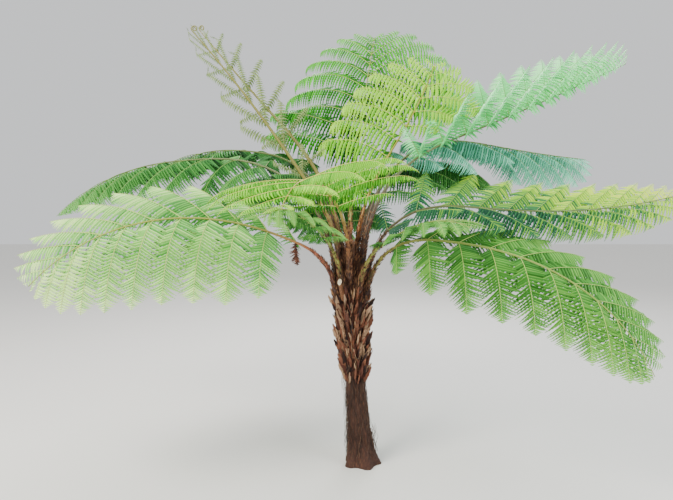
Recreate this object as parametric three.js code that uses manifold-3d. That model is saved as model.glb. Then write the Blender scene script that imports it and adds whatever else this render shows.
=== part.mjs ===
// A young tree fern: a short leaning trunk clad in old frond bases, and a crown of
// seventeen fronds with two rolled-up croziers at its growing point.
// Millimetres, +Z up. The origin is on the flat cut under the trunk, at ground level.
// +X is to the right, +Y is to the back; headings are degrees counter-clockwise from +X.

import * as THREE from 'three';
import * as BufferGeometryUtils from 'three/addons/utils/BufferGeometryUtils.js';
import Module from 'manifold-3d';

const wasm = await Module();
wasm.setup();

// Trunk
const CROWN_HEIGHT = 1060;      // growing point above the ground
const LEAN_RIGHT = -60;         // how far the growing point leans along +X, in a bow
const LEAN_BACK = -50;          // and along +Y
const TRUNK_SIDES = 12;
const TRUNK_PROFILE = [         // height, radius without the old frond bases
  [0, 88], [55, 73], [150, 60], [300, 53], [450, 50], [560, 56],
  [700, 64], [820, 64], [910, 54], [990, 40], [1045, 24], [1075, 9],
];
const FLARE_HEIGHT = 140;       // the foot swells into blunt lobes below this
const FLARE_LOBES = 5;
const FLARE_DEPTH = 0.14;

// Old frond bases that clad the upper trunk
const STUB_COUNT = 30;
const STUB_LOWEST = 455;
const STUB_HIGHEST = 715;
const STUB_LENGTH = [95, 135];
const STUB_LEAN = [14, 24];     // degrees away from the trunk
const STUB_HALF_WIDTH = 12;
const STUB_HALF_DEPTH = 7;
const STUB_SECTION = [[-1, -0.6], [-0.55, 1], [0.55, 1], [1, -0.6]];
const STUB_ENDS = {             // share of the length, width and depth at its three sections
  root: [-0.22, 0.7, 0.9], middle: [0.3, 1, 1], tip: [1, 0.72, 0.7],
};
const STUB_SLANT = 1.6;         // how far the broken end can slant, over its half width
const GOLDEN_ANGLE = 137.508;

// Fronds
const GAP = 0.3;                // between pieces that meet
const STALK_RADIUS = 12;        // at the foot
const TIP_RADIUS = 2.4;
const SWELL = 1.25;             // of the live base on the trunk, over the stalk
const BASE_LENGTH = 26;         // of that live base beyond the trunk
const BASE_SUNK = [2.4, 2.2];   // how far its root lies inwards and down, over the stalk's radius
const BASE_ROOT = 0.9;          // thickness of that root, over the stalk's
const FOOT_CLEAR = 1.5;         // between the swollen base's axis side and the trunk
const RIB_SECTION = [[0.9, 0.75], [0.9, -0.55], [0, -1.05], [-0.9, -0.55], [-0.9, 0.75]];
const RIB_TAPER = 0.85;
const STALK_SECTIONS = 4;
const RIB_STEPS = 28;
const HOLD_POWER = 1.6;         // how long a stalk stays upright before it arches
const ARCH_POWER = 1.3;         // how late the outer half of a frond bends down
const CROWD_POWER = 1.4;        // how leaflets crowd towards the tip
const LEAFLET_STEPS = 8;
const DROOP_LENGTH = 400;       // a leaflet this long bends down by its frond's droop
const LEAFLET_FILL = 0.8;       // leaflet width over the space it has
const LEAFLET_ROOT = 0.32;      // leaflet root over the spacing
const BLADE_THICK = [5.2, 3.2]; // at a leaflet's root and near its tip
const PROBE_EXTRA = 2.5;        // room kept round a leaflet when it is placed
const BLADE_LAST_SIDE = 3;      // of a blade's four sides, the one that is split to match
const PROBE_UNDERSIDE = 2;
const LEAST_ROOM = 0.05;        // for a leaflet that runs along its rib, squared
const RIGHT_FACE = 0;           // of the five faces round a rib; leaflets grow from these two
const LEFT_FACE = 3;
const STATIONS = [0.3, 0.66];   // where a leaflet's blade has its broad and narrow sections
const WIDTHS = [1, 0.66];       // and how wide these are, over the broadest
const GROWN_AT = 0.26;          // leaflets are longest this far from the lowest to the tip
const LOWEST_SHARE = 0.6;
const LAST_SHARE = 0.08;

// One entry a frond: heading, where round the trunk its foot sits, height of its foot,
// the three elevations of its arch (rise at the foot, crest at the knee, fall at the tip),
// knee and bare stalk as fractions of its length, length, longest leaflet, pairs of
// leaflets, how far those on its right and left droop, and the fraction at which it is
// split into an inner and an outer piece (0 is whole). Roll lifts its right side, and fill
// is how much of their space leaflets that are still unfolding take.
const FRONDS = [
  { name: 'frond_front_left', heading: 203, seat: 202, foot: 840, rise: 86, crest: 22, fall: -48,
    knee: 0.26, length: 1630, leaflet: 440, pairs: 12, bare: 0.22,
    droop: [0.5, 1.9], roll: 28, open: 71, split: 0.5, shade: 'sunlit' },
  { name: 'frond_front_right', heading: -25, seat: -25, foot: 840, rise: 84, crest: -5, fall: -66,
    knee: 0.36, length: 1660, leaflet: 400, pairs: 12, bare: 0.18,
    droop: [1.7, 0.5], roll: -18, split: 0.52, shade: 'green' },
  { name: 'frond_back_low', heading: 95, seat: 96, foot: 850, rise: 78, crest: 10, fall: -55,
    knee: 0.44, length: 1600, leaflet: 400, pairs: 11, bare: 0.26,
    droop: [1.1, 1.1], split: 0.5, shade: 'deep' },
  { name: 'frond_short_right', heading: -34, seat: -60, foot: 890, rise: 80, crest: 26, fall: -24,
    knee: 0.55, length: 740, leaflet: 270, pairs: 8, bare: 0.34,
    droop: [1.3, 0.8], split: 0, shade: 'green' },
  { name: 'frond_left', heading: 160, seat: 168, foot: 890, rise: 86, crest: -3, fall: -42,
    knee: 0.58, length: 2100, leaflet: 390, pairs: 13, bare: 0.27,
    droop: [0.9, 1.2], roll: 12, split: 0.58, shade: 'deep' },
  { name: 'frond_short_left', heading: 225, seat: 231, foot: 915, rise: 80, crest: 32, fall: -38,
    knee: 0.62, length: 690, leaflet: 300, pairs: 8, bare: 0.36,
    droop: [1, 1.3], split: 0, shade: 'green' },
  { name: 'frond_back_left', heading: 118, seat: 122, foot: 920, rise: 82, crest: 12, fall: -39,
    knee: 0.45, length: 1740, leaflet: 390, pairs: 12, bare: 0.25,
    droop: [1.1, 1.2], split: 0.54, shade: 'deep' },
  { name: 'frond_right_level', heading: 5, seat: -5, foot: 900, rise: 84, crest: -5, fall: 15,
    knee: 0.42, length: 1850, leaflet: 370, pairs: 13, bare: 0.15,
    droop: [0.7, 0.2], roll: -20, lift: 20, open: 62, split: 0.42, shade: 'sunlit' },
  { name: 'frond_back_right', heading: 56, seat: 76, foot: 930, rise: 82, crest: 13, fall: -40,
    knee: 0.5, length: 1780, leaflet: 390, pairs: 12, bare: 0.26,
    droop: [1.1, 0.9], split: 0.54, shade: 'deep' },
  { name: 'frond_left_high', heading: 138, seat: 146, foot: 950, rise: 87, crest: 5, fall: -23,
    knee: 0.58, length: 1850, leaflet: 380, pairs: 12, bare: 0.28,
    droop: [0.9, 1.3], roll: 4, split: 0.56, shade: 'deep' },
  { name: 'frond_right_back', heading: 36, seat: 42, foot: 950, rise: 87, crest: -5, fall: -2,
    knee: 0.6, length: 2200, leaflet: 400, pairs: 13, bare: 0.3,
    droop: [1.6, 0.6], roll: -6, split: 0.56, shade: 'blue' },
  { name: 'frond_right_high', heading: 20, seat: 17, foot: 975, rise: 87, crest: 21, fall: 24,
    knee: 0.46, length: 2040, leaflet: 370, pairs: 13, bare: 0.32,
    droop: [0.25, 0.25], lift: 48, split: 0.36, shade: 'green' },
  { name: 'frond_front', heading: 250, seat: 264, foot: 960, rise: 86, crest: 18, fall: -50,
    knee: 0.58, length: 1060, leaflet: 460, pairs: 9, bare: 0.36,
    droop: [0.5, 0.5], roll: -10, lift: 16, open: 86, split: 0, shade: 'sunlit' },
  { name: 'frond_upright', heading: 40, seat: 68, foot: 1005, rise: 84, crest: 50, fall: 64,
    knee: 0.55, length: 1210, leaflet: 450, pairs: 10, bare: 0.28,
    droop: [1.1, 1.1], roll: -35, lift: 20, open: 88, split: 0, shade: 'sunlit' },
  { name: 'frond_upright_back', heading: 76, seat: 104, foot: 1015, rise: 82, crest: 60, fall: 51,
    knee: 0.4, length: 1410, leaflet: 640, pairs: 12, bare: 0.22,
    droop: [0.8, 0.8], open: 68, split: 0, shade: 'green' },
  { name: 'frond_young_outer', heading: 173, seat: 180, foot: 1000, rise: 86, crest: 56, fall: 48,
    knee: 0.31, length: 1370, leaflet: 300, pairs: 8, bare: 0.34,
    droop: [0, 0], roll: 75, open: 35, fill: 0.35, split: 0, shade: 'young' },
  { name: 'frond_young_inner', heading: 158, seat: 140, foot: 1035, rise: 81, crest: 46, fall: 48,
    knee: 0.57, length: 1440, leaflet: 190, pairs: 7, bare: 0.34,
    droop: [0, 0], roll: 75, open: 86, fill: 0.35, split: 0, shade: 'young' },
];
const LIFT = 8;                 // degrees that leaflets rise from the rib, unless a frond says else
const OPEN = 72;                // degrees between the lowest leaflets and the rib
const CLOSE = 30;               // and how much less at the tip

// Croziers: heading, foot height, straight stalk, coil radius, stalk radius
const COIL_TURNS = 1.3;
const COIL_TIGHTENS = 0.62;     // how much smaller the coil's radius is at its end
const COIL_THINS = 0.45;        // thickness at its end over that of the stalk
const COIL_STEPS = 18;
const CROZIER_STALK_STEPS = 4;
const CROZIER_SIDES = 6;
const CROZIER_STANDS_OUT = 0.3; // of its radius beyond the trunk's own
const CROZIER_SUNK = 2.5;       // how far its socket goes down, over its radius
const CROZIERS = [
  { name: 'crozier_tall', heading: 95, foot: 1040, stalk: 150, coil: 28, radius: 7.5 },
  { name: 'crozier_small', heading: 290, foot: 1020, stalk: 95, coil: 20, radius: 6 },
];

const SHADES = {
  sunlit: 0xb9cf6a, green: 0x6f9a3f, deep: 0x3f6b34, blue: 0x5d8f72, young: 0x8f8f45, bark: 0x5b4231,
};
const LEAF_ROUGHNESS = 0.6;
const YOUNG_ROUGHNESS = 0.7;
const BARK_ROUGHNESS = 0.95;
const finish = (shade, roughness) =>
  new THREE.MeshStandardMaterial({ color: SHADES[shade], roughness, metalness: 0 });

const radians = THREE.MathUtils.degToRad;
const mix = (a, b, t) => a + (b - a) * t;
const UP = new THREE.Vector3(0, 0, 1);

// A seeded stream of numbers from 0 to 1
function randomStream(seed) {
  let state = seed >>> 0;
  return () => {
    state = (Math.imul(state, 1664525) + 1013904223) >>> 0;
    return state / 4294967296;
  };
}

// Mesh under construction: numbered corners, and faces wound so that they point outwards
class Shell {
  constructor() {
    this.corners = [];
    this.faces = [];
  }
  add(point) {
    this.corners.push(point.x, point.y, point.z);
    return this.corners.length / 3 - 1;
  }
  addAll(points) {
    return points.map((point) => this.add(point));
  }
  triangle(a, b, c) {
    this.faces.push(a, b, c);
  }
  quad(a, b, c, d) {
    this.faces.push(a, b, c, a, c, d);
  }
  // Faces between two rings; one of them can be split along its other diagonal, so that the
  // two sides of a twisted blade follow each other
  band(from, to, flipped = -1) {
    const n = from.length;
    for (let i = 0; i < n; i += 1) {
      const j = (i + 1) % n;
      if (i === flipped) this.quad(from[j], to[j], to[i], from[i]);
      else this.quad(from[i], from[j], to[j], to[i]);
    }
  }
  fan(ring, apex) {
    const n = ring.length;
    for (let i = 0; i < n; i += 1) {
      this.triangle(ring[i], ring[(i + 1) % n], apex);
    }
  }
  cap(ring, facingBack) {
    for (let i = 1; i < ring.length - 1; i += 1) {
      if (facingBack) this.triangle(ring[0], ring[i + 1], ring[i]);
      else this.triangle(ring[0], ring[i], ring[i + 1]);
    }
  }
  geometry() {
    const geometry = new THREE.BufferGeometry();
    geometry.setAttribute('position', new THREE.Float32BufferAttribute(this.corners, 3));
    geometry.setIndex(this.faces);
    return geometry;
  }
}

function toSolid(geometry) {
  const bare = geometry.clone();
  bare.deleteAttribute('normal');
  bare.deleteAttribute('uv');
  const merged = BufferGeometryUtils.mergeVertices(bare, 1e-3);
  return new wasm.Manifold(new wasm.Mesh({
    numProp: 3,
    vertProperties: new Float32Array(merged.attributes.position.array),
    triVerts: new Uint32Array(merged.index.array),
  }));
}

function toGeometry(solid) {
  const mesh = solid.getMesh();
  const geometry = new THREE.BufferGeometry();
  geometry.setAttribute('position', new THREE.BufferAttribute(mesh.vertProperties, 3));
  geometry.setIndex(new THREE.BufferAttribute(mesh.triVerts, 1));
  return geometry;
}

// Trunk core
const profile = new THREE.SplineCurve(TRUNK_PROFILE.map(([z, r]) => new THREE.Vector2(z, r)));
const profilePoints = profile.getPoints(120);

function trunkRadius(z) {
  let k = 1;
  while (k < profilePoints.length - 1 && profilePoints[k].x < z) k += 1;
  const a = profilePoints[k - 1];
  const b = profilePoints[k];
  return mix(a.y, b.y, THREE.MathUtils.clamp((z - a.x) / (b.x - a.x), 0, 1));
}

function trunkAxis(z) {
  const share = z / CROWN_HEIGHT;
  const bow = Math.sin((Math.PI / 2) * Math.min(1, share));
  return new THREE.Vector3(LEAN_RIGHT * bow, LEAN_BACK * share, z);
}

const outward = (degrees) =>
  new THREE.Vector3(Math.cos(radians(degrees)), Math.sin(radians(degrees)), 0);

// The first direction turned towards the second, at right angles to it, by an angle
const turned = (from, towards, angle) =>
  from.clone().multiplyScalar(Math.cos(angle)).addScaledVector(towards, Math.sin(angle));

function trunkCore() {
  const shell = new Shell();
  const rings = TRUNK_PROFILE.map(([z, radius]) => {
    const flare = Math.max(0, 1 - z / FLARE_HEIGHT);
    const ring = [];
    for (let i = 0; i < TRUNK_SIDES; i += 1) {
      const turn = (360 * i) / TRUNK_SIDES;
      const lobe = 1 + FLARE_DEPTH * flare * Math.cos(radians(FLARE_LOBES * turn));
      ring.push(trunkAxis(z).addScaledVector(outward(turn), radius * lobe));
    }
    return shell.addAll(ring);
  });
  shell.cap(rings[0], true);
  for (let k = 1; k < rings.length; k += 1) shell.band(rings[k - 1], rings[k]);
  shell.cap(rings[rings.length - 1], false);
  return toSolid(shell.geometry());
}

// A stub of an old frond: a flat tapering tongue with a slanting broken end
function oldBase(index, random) {
  const share = index / (STUB_COUNT - 1);
  const z = mix(STUB_LOWEST, STUB_HIGHEST, share);
  const out = outward(index * GOLDEN_ANGLE);
  const side = new THREE.Vector3().crossVectors(UP, out);
  const lean = radians(mix(STUB_LEAN[0], STUB_LEAN[1], random()));
  const length = mix(STUB_LENGTH[0], STUB_LENGTH[1], random());
  const along = turned(UP, out, lean);
  const normal = new THREE.Vector3().crossVectors(side, along);
  const foot = trunkAxis(z).addScaledVector(out, trunkRadius(z) - STUB_HALF_DEPTH);
  const shell = new Shell();
  const slant = (0.5 - random()) * STUB_SLANT * STUB_HALF_WIDTH;
  const rings = [STUB_ENDS.root, STUB_ENDS.middle, STUB_ENDS.tip].map(([reach, wide, deep]) => {
    const centre = foot.clone().addScaledVector(along, reach * length);
    const tilt = reach === 1 ? slant : 0;
    return shell.addAll(STUB_SECTION.map(([x, y]) => centre.clone()
      .addScaledVector(side, x * wide * STUB_HALF_WIDTH)
      .addScaledVector(normal, y * deep * STUB_HALF_DEPTH)
      .addScaledVector(along, x * tilt)));
  });
  for (let k = 1; k < rings.length; k += 1) shell.band(rings[k - 1], rings[k]);
  shell.cap(rings[0], true);
  shell.cap(rings[rings.length - 1], false);
  return toSolid(shell.geometry());
}

// The curve of a frond's rib
function elevation(frond, t) {
  if (t < frond.knee) {
    const bend = Math.sin((Math.PI / 2) * (t / frond.knee)) ** HOLD_POWER;
    return mix(frond.rise, frond.crest, bend);
  }
  return mix(frond.crest, frond.fall, ((t - frond.knee) / (1 - frond.knee)) ** ARCH_POWER);
}

function ribStart(frond) {
  const reach = trunkRadius(frond.foot) + STALK_RADIUS * SWELL + FOOT_CLEAR;
  return trunkAxis(frond.foot).addScaledVector(outward(frond.seat), reach);
}

function ribCurve(frond) {
  const points = [ribStart(frond)];
  const tangents = [];
  for (let k = 0; k < RIB_STEPS; k += 1) {
    const slope = radians(elevation(frond, (k + 0.5) / RIB_STEPS));
    const tangent = turned(outward(frond.heading), UP, slope);
    tangents.push(tangent);
    points.push(points[k].clone().addScaledVector(tangent, frond.length / RIB_STEPS));
  }
  const across = new THREE.Vector3().crossVectors(outward(frond.heading), UP);
  return { points, tangents, across };
}

function ribAt(curve, t) {
  const last = curve.tangents.length;
  const x = THREE.MathUtils.clamp(t * last, 0, last - 1e-6);
  const i = Math.floor(x);
  const y = THREE.MathUtils.clamp(x - 0.5, 0, last - 1 - 1e-6);
  const j = Math.floor(y);
  const tangent = curve.tangents[j].clone().lerp(curve.tangents[j + 1], y - j).normalize();
  return {
    point: curve.points[i].clone().lerp(curve.points[i + 1], x - i),
    tangent,
    across: curve.across,
    normal: new THREE.Vector3().crossVectors(curve.across, tangent),
  };
}

const ribRadius = (t) => mix(TIP_RADIUS, STALK_RADIUS, Math.max(0, 1 - t) ** RIB_TAPER);

// Five corners round the rib; its right and left sides are flat faces that leaflets grow from
function ribRing(curve, t, radius = ribRadius(t), shift = 0) {
  const { point, tangent, across, normal } = ribAt(curve, t);
  return RIB_SECTION.map(([x, y]) => point.clone()
    .addScaledVector(across, x * radius)
    .addScaledVector(normal, y * radius)
    .addScaledVector(tangent, shift));
}

// How long a leaflet is, from the lowest (0) to the tip (1), over the longest
function leafletShare(u) {
  const grow = mix(LOWEST_SHARE, 1, Math.sin((Math.PI / 2) * Math.min(1, u / GROWN_AT)));
  const past = Math.max(0, u - GROWN_AT) / (1 - GROWN_AT);
  return Math.max(LAST_SHARE, grow * Math.cos((Math.PI / 2) * past ** 2));
}

function leafletPlaces(frond) {
  const places = [];
  const along = (i) => 1 - (1 - i / frond.pairs) ** CROWD_POWER;
  for (let i = 0; i < frond.pairs; i += 1) {
    const u = along(i);
    const step = (along(i + 1) - u) * (1 - frond.bare);
    const t = frond.bare + (1 - frond.bare) * u;
    places.push({ u, from: t, to: t + LEAFLET_ROOT * step, spacing: step * frond.length, leaves: {} });
  }
  return places;
}

// Frames along the centre line of one leaflet; side is 1 on the right and -1 on the left
function leafletFrames(frond, curve, spot, side, trial) {
  const middle = (spot.from + spot.to) / 2;
  const rib = ribAt(curve, middle);
  const roll = radians(frond.roll ?? 0);
  const flat = turned(rib.across, rib.normal, roll);
  const face = new THREE.Vector3().crossVectors(flat, rib.tangent);
  const lift = radians(frond.lift ?? LIFT);
  const open = radians((frond.open ?? OPEN) - CLOSE * spot.u);
  let direction = turned(rib.tangent, turned(flat.multiplyScalar(side), face, lift), open);
  const length = frond.leaflet * leafletShare(spot.u) * trial.length;
  const sag = frond.droop[side > 0 ? 0 : 1];
  const droop = (sag * trial.droop * length) / DROOP_LENGTH;
  let point = rib.point.clone();
  const spacing = spot.spacing * (frond.fill ?? 1);
  const frames = [];
  for (let k = 1; k <= LEAFLET_STEPS; k += 1) {
    direction = direction.clone().addScaledVector(UP, -droop / LEAFLET_STEPS).normalize();
    point = point.clone().addScaledVector(direction, length / LEAFLET_STEPS);
    const slant = rib.tangent.dot(direction);
    const width = rib.tangent.clone().addScaledVector(direction, -slant).normalize();
    const normal = new THREE.Vector3().crossVectors(direction, width).multiplyScalar(side);
    const room = spacing * Math.sqrt(Math.max(LEAST_ROOM, 1 - slant * slant));
    frames.push({ point, direction, width, normal, room, share: k / LEAFLET_STEPS });
  }
  return frames;
}

function frameAt(frames, share) {
  const x = THREE.MathUtils.clamp(share * LEAFLET_STEPS - 1, 0, LEAFLET_STEPS - 1);
  const i = Math.min(Math.floor(x), LEAFLET_STEPS - 2);
  const a = frames[i];
  const b = frames[i + 1];
  return {
    point: a.point.clone().lerp(b.point, x - i),
    width: a.width.clone().lerp(b.width, x - i).normalize(),
    normal: a.normal.clone().lerp(b.normal, x - i).normalize(),
    room: mix(a.room, b.room, x - i),
  };
}

// Sections of a blade: corners run back-top, front-top, front-bottom, back-bottom
function bladeSections(frames, extra) {
  return STATIONS.map((share, k) => {
    const frame = frameAt(frames, share);
    const half = 0.5 * LEAFLET_FILL * WIDTHS[k] * frame.room + extra;
    const thick = 0.5 * mix(BLADE_THICK[0], BLADE_THICK[1], share) + extra;
    return [[-1, 1], [1, 1], [1, -1], [-1, -1]].map(([x, y]) => frame.point.clone()
      .addScaledVector(frame.width, x * half)
      .addScaledVector(frame.normal, y * thick));
  });
}

// A leaflet on its own, a little fat, to find out whether its place is free
function leafletProbe(frames, curve, spot, side) {
  const shell = new Shell();
  const [top, bottom] = side > 0 ? [0, 1] : [4, 3];
  const rear = ribRing(curve, spot.from, ribRadius(spot.from) + PROBE_EXTRA, -PROBE_EXTRA);
  const front = ribRing(curve, spot.to, ribRadius(spot.to) + PROBE_EXTRA, PROBE_EXTRA);
  const root = [rear[top], front[top], front[bottom], rear[bottom]];
  const rings = [root, ...bladeSections(frames, PROBE_EXTRA)].map((ring) => shell.addAll(ring));
  const end = frames[frames.length - 1];
  const apex = shell.add(end.point.clone().addScaledVector(end.direction, PROBE_EXTRA));
  for (let k = 1; k < rings.length; k += 1) shell.band(rings[k - 1], rings[k], PROBE_UNDERSIDE);
  shell.fan(rings[rings.length - 1], apex);
  shell.cap(rings[0], true);
  if (side > 0) shell.faces.reverse();
  return toSolid(shell.geometry());
}

function boxesMeet(a, b) {
  return [0, 1, 2].every((i) => a.min[i] < b.max[i] && b.min[i] < a.max[i]);
}

function isFree(probe, taken) {
  const box = probe.boundingBox();
  return !taken.some((other) => boxesMeet(box, other.box) && !probe.intersect(other.solid).isEmpty());
}

// Length and droop that a leaflet is tried with in turn, over its own
const TRIALS = [
  { length: 1, droop: 1 }, { length: 1, droop: 1.7 }, { length: 1, droop: 0.5 },
  { length: 0.8, droop: 1 }, { length: 0.8, droop: 1.8 }, { length: 0.62, droop: 1 },
  { length: 0.45, droop: 1 },
];

// Rib of a frond from fraction a to b with the leaflets that have been placed on it
function frondGeometry(frond, curve, places, a, b) {
  const shell = new Shell();
  const stops = [];
  if (a === 0) {
    for (let k = 0; k < STALK_SECTIONS; k += 1) stops.push({ t: (frond.bare * k) / STALK_SECTIONS });
    stops[0].shift = BASE_LENGTH + GAP;
  } else {
    stops.push({ t: a, shift: GAP });
  }
  places.filter((spot) => spot.from >= a && spot.from < b).forEach((spot) => {
    stops.push({ t: spot.from });
    stops.push({ t: spot.to, leaves: spot.leaves });
  });
  if (b < 1) stops.push({ t: b });
  let before = null;
  stops.forEach((stop) => {
    const ring = shell.addAll(ribRing(curve, stop.t, ribRadius(stop.t), stop.shift ?? 0));
    if (!before) {
      shell.cap(ring, true);
    } else {
      const n = ring.length;
      for (let i = 0; i < n; i += 1) {
        const j = (i + 1) % n;
        const face = [before[i], before[j], ring[j], ring[i]];
        const side = i === RIGHT_FACE ? 1 : -1;
        const leaf = (i === RIGHT_FACE || i === LEFT_FACE) && stop.leaves && stop.leaves[side];
        if (leaf) growBlade(shell, face, leaf, side);
        else shell.quad(...face);
      }
    }
    before = ring;
  });
  if (b < 1) shell.cap(before, false);
  else shell.fan(before, shell.add(curve.points[RIB_STEPS]));
  return shell.geometry();
}

// A blade grown out of one side face of the rib. The face's corners are the rear pair and
// then the front pair; the right face starts at the top, and the left face at the bottom.
function growBlade(shell, face, frames, side) {
  const matching = side > 0 ? [0, 3, 2, 1] : [3, 0, 1, 2];
  let before = face;
  bladeSections(frames, 0).forEach((section) => {
    const ring = shell.addAll(matching.map((corner) => section[corner]));
    shell.band(before, ring, BLADE_LAST_SIDE);
    before = ring;
  });
  shell.fan(before, shell.add(frames[frames.length - 1].point));
}

// The swollen live base that a frond stands on, fused to the trunk
function liveBase(frond, curve, radius) {
  const shell = new Shell();
  const inner = ribRing(curve, 0, radius * BASE_ROOT).map((corner) => corner
    .addScaledVector(outward(frond.seat), -radius * BASE_SUNK[0])
    .addScaledVector(UP, -radius * BASE_SUNK[1]));
  const rings = [
    inner,
    ribRing(curve, 0, radius * SWELL),
    ribRing(curve, 0, radius, BASE_LENGTH),
  ].map((ring) => shell.addAll(ring));
  for (let k = 1; k < rings.length; k += 1) shell.band(rings[k - 1], rings[k]);
  shell.cap(rings[0], true);
  shell.cap(rings[rings.length - 1], false);
  return toSolid(shell.geometry());
}

const fern = new THREE.Group();
fern.name = 'tree_fern';

function addPiece(name, geometry, shade, roughness) {
  const mesh = new THREE.Mesh(geometry, finish(shade, roughness));
  mesh.name = name;
  fern.add(mesh);
}

// A crozier: a short stalk whose upper end is rolled up in its own plane
function crozierCurve(crozier) {
  const points = [];
  const out = outward(crozier.heading);
  const reach = trunkRadius(crozier.foot) + crozier.radius * CROZIER_STANDS_OUT;
  const foot = trunkAxis(crozier.foot).addScaledVector(out, reach);
  for (let k = 0; k <= CROZIER_STALK_STEPS; k += 1) {
    points.push(foot.clone().addScaledVector(UP, (crozier.stalk * k) / CROZIER_STALK_STEPS));
  }
  for (let k = 1; k <= COIL_STEPS; k += 1) {
    const angle = (k / COIL_STEPS) * COIL_TURNS * 2 * Math.PI;
    const radius = crozier.coil * (1 - COIL_TIGHTENS * (k / COIL_STEPS));
    const centre = foot.clone().addScaledVector(UP, crozier.stalk).addScaledVector(out, -crozier.coil);
    points.push(centre
      .addScaledVector(out, radius * Math.cos(angle))
      .addScaledVector(UP, radius * Math.sin(angle)));
  }
  return { points, across: new THREE.Vector3().crossVectors(out, UP) };
}

function crozierTube(crozier, fromPoint, toPoint, baseShift, thinning) {
  const { points, across } = crozierCurve(crozier);
  const shell = new Shell();
  let before = null;
  for (let k = fromPoint; k <= toPoint; k += 1) {
    const a = points[Math.max(0, k - 1)];
    const b = points[Math.min(points.length - 1, k + 1)];
    const tangent = b.clone().sub(a).normalize();
    const normal = new THREE.Vector3().crossVectors(across, tangent);
    const centre = points[k].clone().addScaledVector(tangent, k === fromPoint ? baseShift : 0);
    const radius = crozier.radius * mix(1, thinning, k / (points.length - 1));
    const ring = [];
    for (let i = 0; i < CROZIER_SIDES; i += 1) {
      const turn = (-2 * Math.PI * i) / CROZIER_SIDES;
      ring.push(centre.clone()
        .addScaledVector(across, radius * Math.cos(turn))
        .addScaledVector(normal, radius * Math.sin(turn)));
    }
    const added = shell.addAll(ring);
    if (before) shell.band(before, added);
    else shell.cap(added, true);
    before = added;
  }
  shell.cap(before, false);
  return shell.geometry();
}

// Ribs first, then the trunk, then leaflets wherever they are clear of all of these
const curves = FRONDS.map((frond) => ribCurve(frond));
const taken = [];
const claim = (owner, solid) => taken.push({ owner, solid, box: solid.boundingBox() });

const random = randomStream(7);
let trunk = trunkCore();
for (let i = 0; i < STUB_COUNT; i += 1) trunk = trunk.add(oldBase(i, random));
FRONDS.forEach((frond, k) => {
  trunk = trunk.add(liveBase(frond, curves[k], ribRadius(0)));
});
CROZIERS.forEach((crozier) => {
  trunk = trunk.add(toSolid(crozierTube(crozier, 0, 1, -crozier.radius * CROZIER_SUNK, 1)));
});

const spots = FRONDS.map((frond) => leafletPlaces(frond));
const ribsOnly = FRONDS.map((frond, k) => toSolid(frondGeometry(frond, curves[k], spots[k], 0, 1)));
ribsOnly.forEach((solid, k) => claim(k, solid));
claim(-1, trunk);

FRONDS.forEach((frond, k) => {
  const places = spots[k];
  const own = [];
  places.forEach((spot) => {
    [1, -1].forEach((side) => {
      const others = taken.filter((item) => item.owner !== k).concat(own);
      for (const trial of TRIALS) {
        const frames = leafletFrames(frond, curves[k], spot, side, trial);
        const probe = leafletProbe(frames, curves[k], spot, side);
        if (isFree(probe, others)) {
          spot.leaves[side] = frames;
          own.push({ owner: k, solid: probe, box: probe.boundingBox() });
          break;
        }
      }
    });
  });
  taken.push(...own);
  if (frond.split > 0) {
    const next = places.findIndex((spot) => spot.from > frond.split);
    const cut = (places[next - 1].to + places[next].from) / 2;
    const inner = frondGeometry(frond, curves[k], places, 0, cut);
    const outer = frondGeometry(frond, curves[k], places, cut, 1);
    addPiece(`${frond.name}_inner`, inner, frond.shade, LEAF_ROUGHNESS);
    addPiece(`${frond.name}_outer`, outer, frond.shade, LEAF_ROUGHNESS);
  } else {
    addPiece(frond.name, frondGeometry(frond, curves[k], places, 0, 1), frond.shade, LEAF_ROUGHNESS);
  }
});

CROZIERS.forEach((crozier) => {
  const last = CROZIER_STALK_STEPS + COIL_STEPS;
  addPiece(crozier.name, crozierTube(crozier, 1, last, GAP, COIL_THINS), 'young', YOUNG_ROUGHNESS);
});

addPiece('trunk', toGeometry(trunk), 'bark', BARK_ROUGHNESS);

export default fern;
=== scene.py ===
"""Looks of a young tree fern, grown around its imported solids.

The fronds follow the rule of the solids: an arching rib with leaflets on both sides, each
leaflet where its solid is. Here every leaflet gets a midrib and two rows of toothed lobes.
Metres, +Z up, seen from the front along +Y. Headings are degrees counter-clockwise from +X,
and the right side of a frond is on the right of someone who looks along it to its tip.
"""

import math

import bpy
import numpy as np
from bpy.props import FloatProperty, FloatVectorProperty, IntProperty, PointerProperty
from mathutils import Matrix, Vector, kdtree, noise


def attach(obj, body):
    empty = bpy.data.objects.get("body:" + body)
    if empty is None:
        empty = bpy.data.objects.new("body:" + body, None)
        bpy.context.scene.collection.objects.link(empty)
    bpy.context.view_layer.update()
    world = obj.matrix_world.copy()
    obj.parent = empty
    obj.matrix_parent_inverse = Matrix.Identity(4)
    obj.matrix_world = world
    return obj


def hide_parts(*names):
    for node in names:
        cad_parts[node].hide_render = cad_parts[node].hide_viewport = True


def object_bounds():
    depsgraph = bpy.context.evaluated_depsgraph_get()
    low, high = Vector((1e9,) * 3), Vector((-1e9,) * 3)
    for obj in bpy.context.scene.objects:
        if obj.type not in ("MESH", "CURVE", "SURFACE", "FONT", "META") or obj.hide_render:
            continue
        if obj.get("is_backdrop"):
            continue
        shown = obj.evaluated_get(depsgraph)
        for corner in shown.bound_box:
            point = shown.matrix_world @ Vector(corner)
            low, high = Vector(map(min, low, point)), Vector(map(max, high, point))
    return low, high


bl_info = {
    "name": "Tree fern looks",
    "version": (1, 0, 0),
    "blender": (4, 5, 0),
    "location": "3D View > Sidebar > Tree fern",
    "description": "Grows the bark, ribs and lacy leaflets of a tree fern on its packed solids",
    "category": "Object",
}

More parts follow.
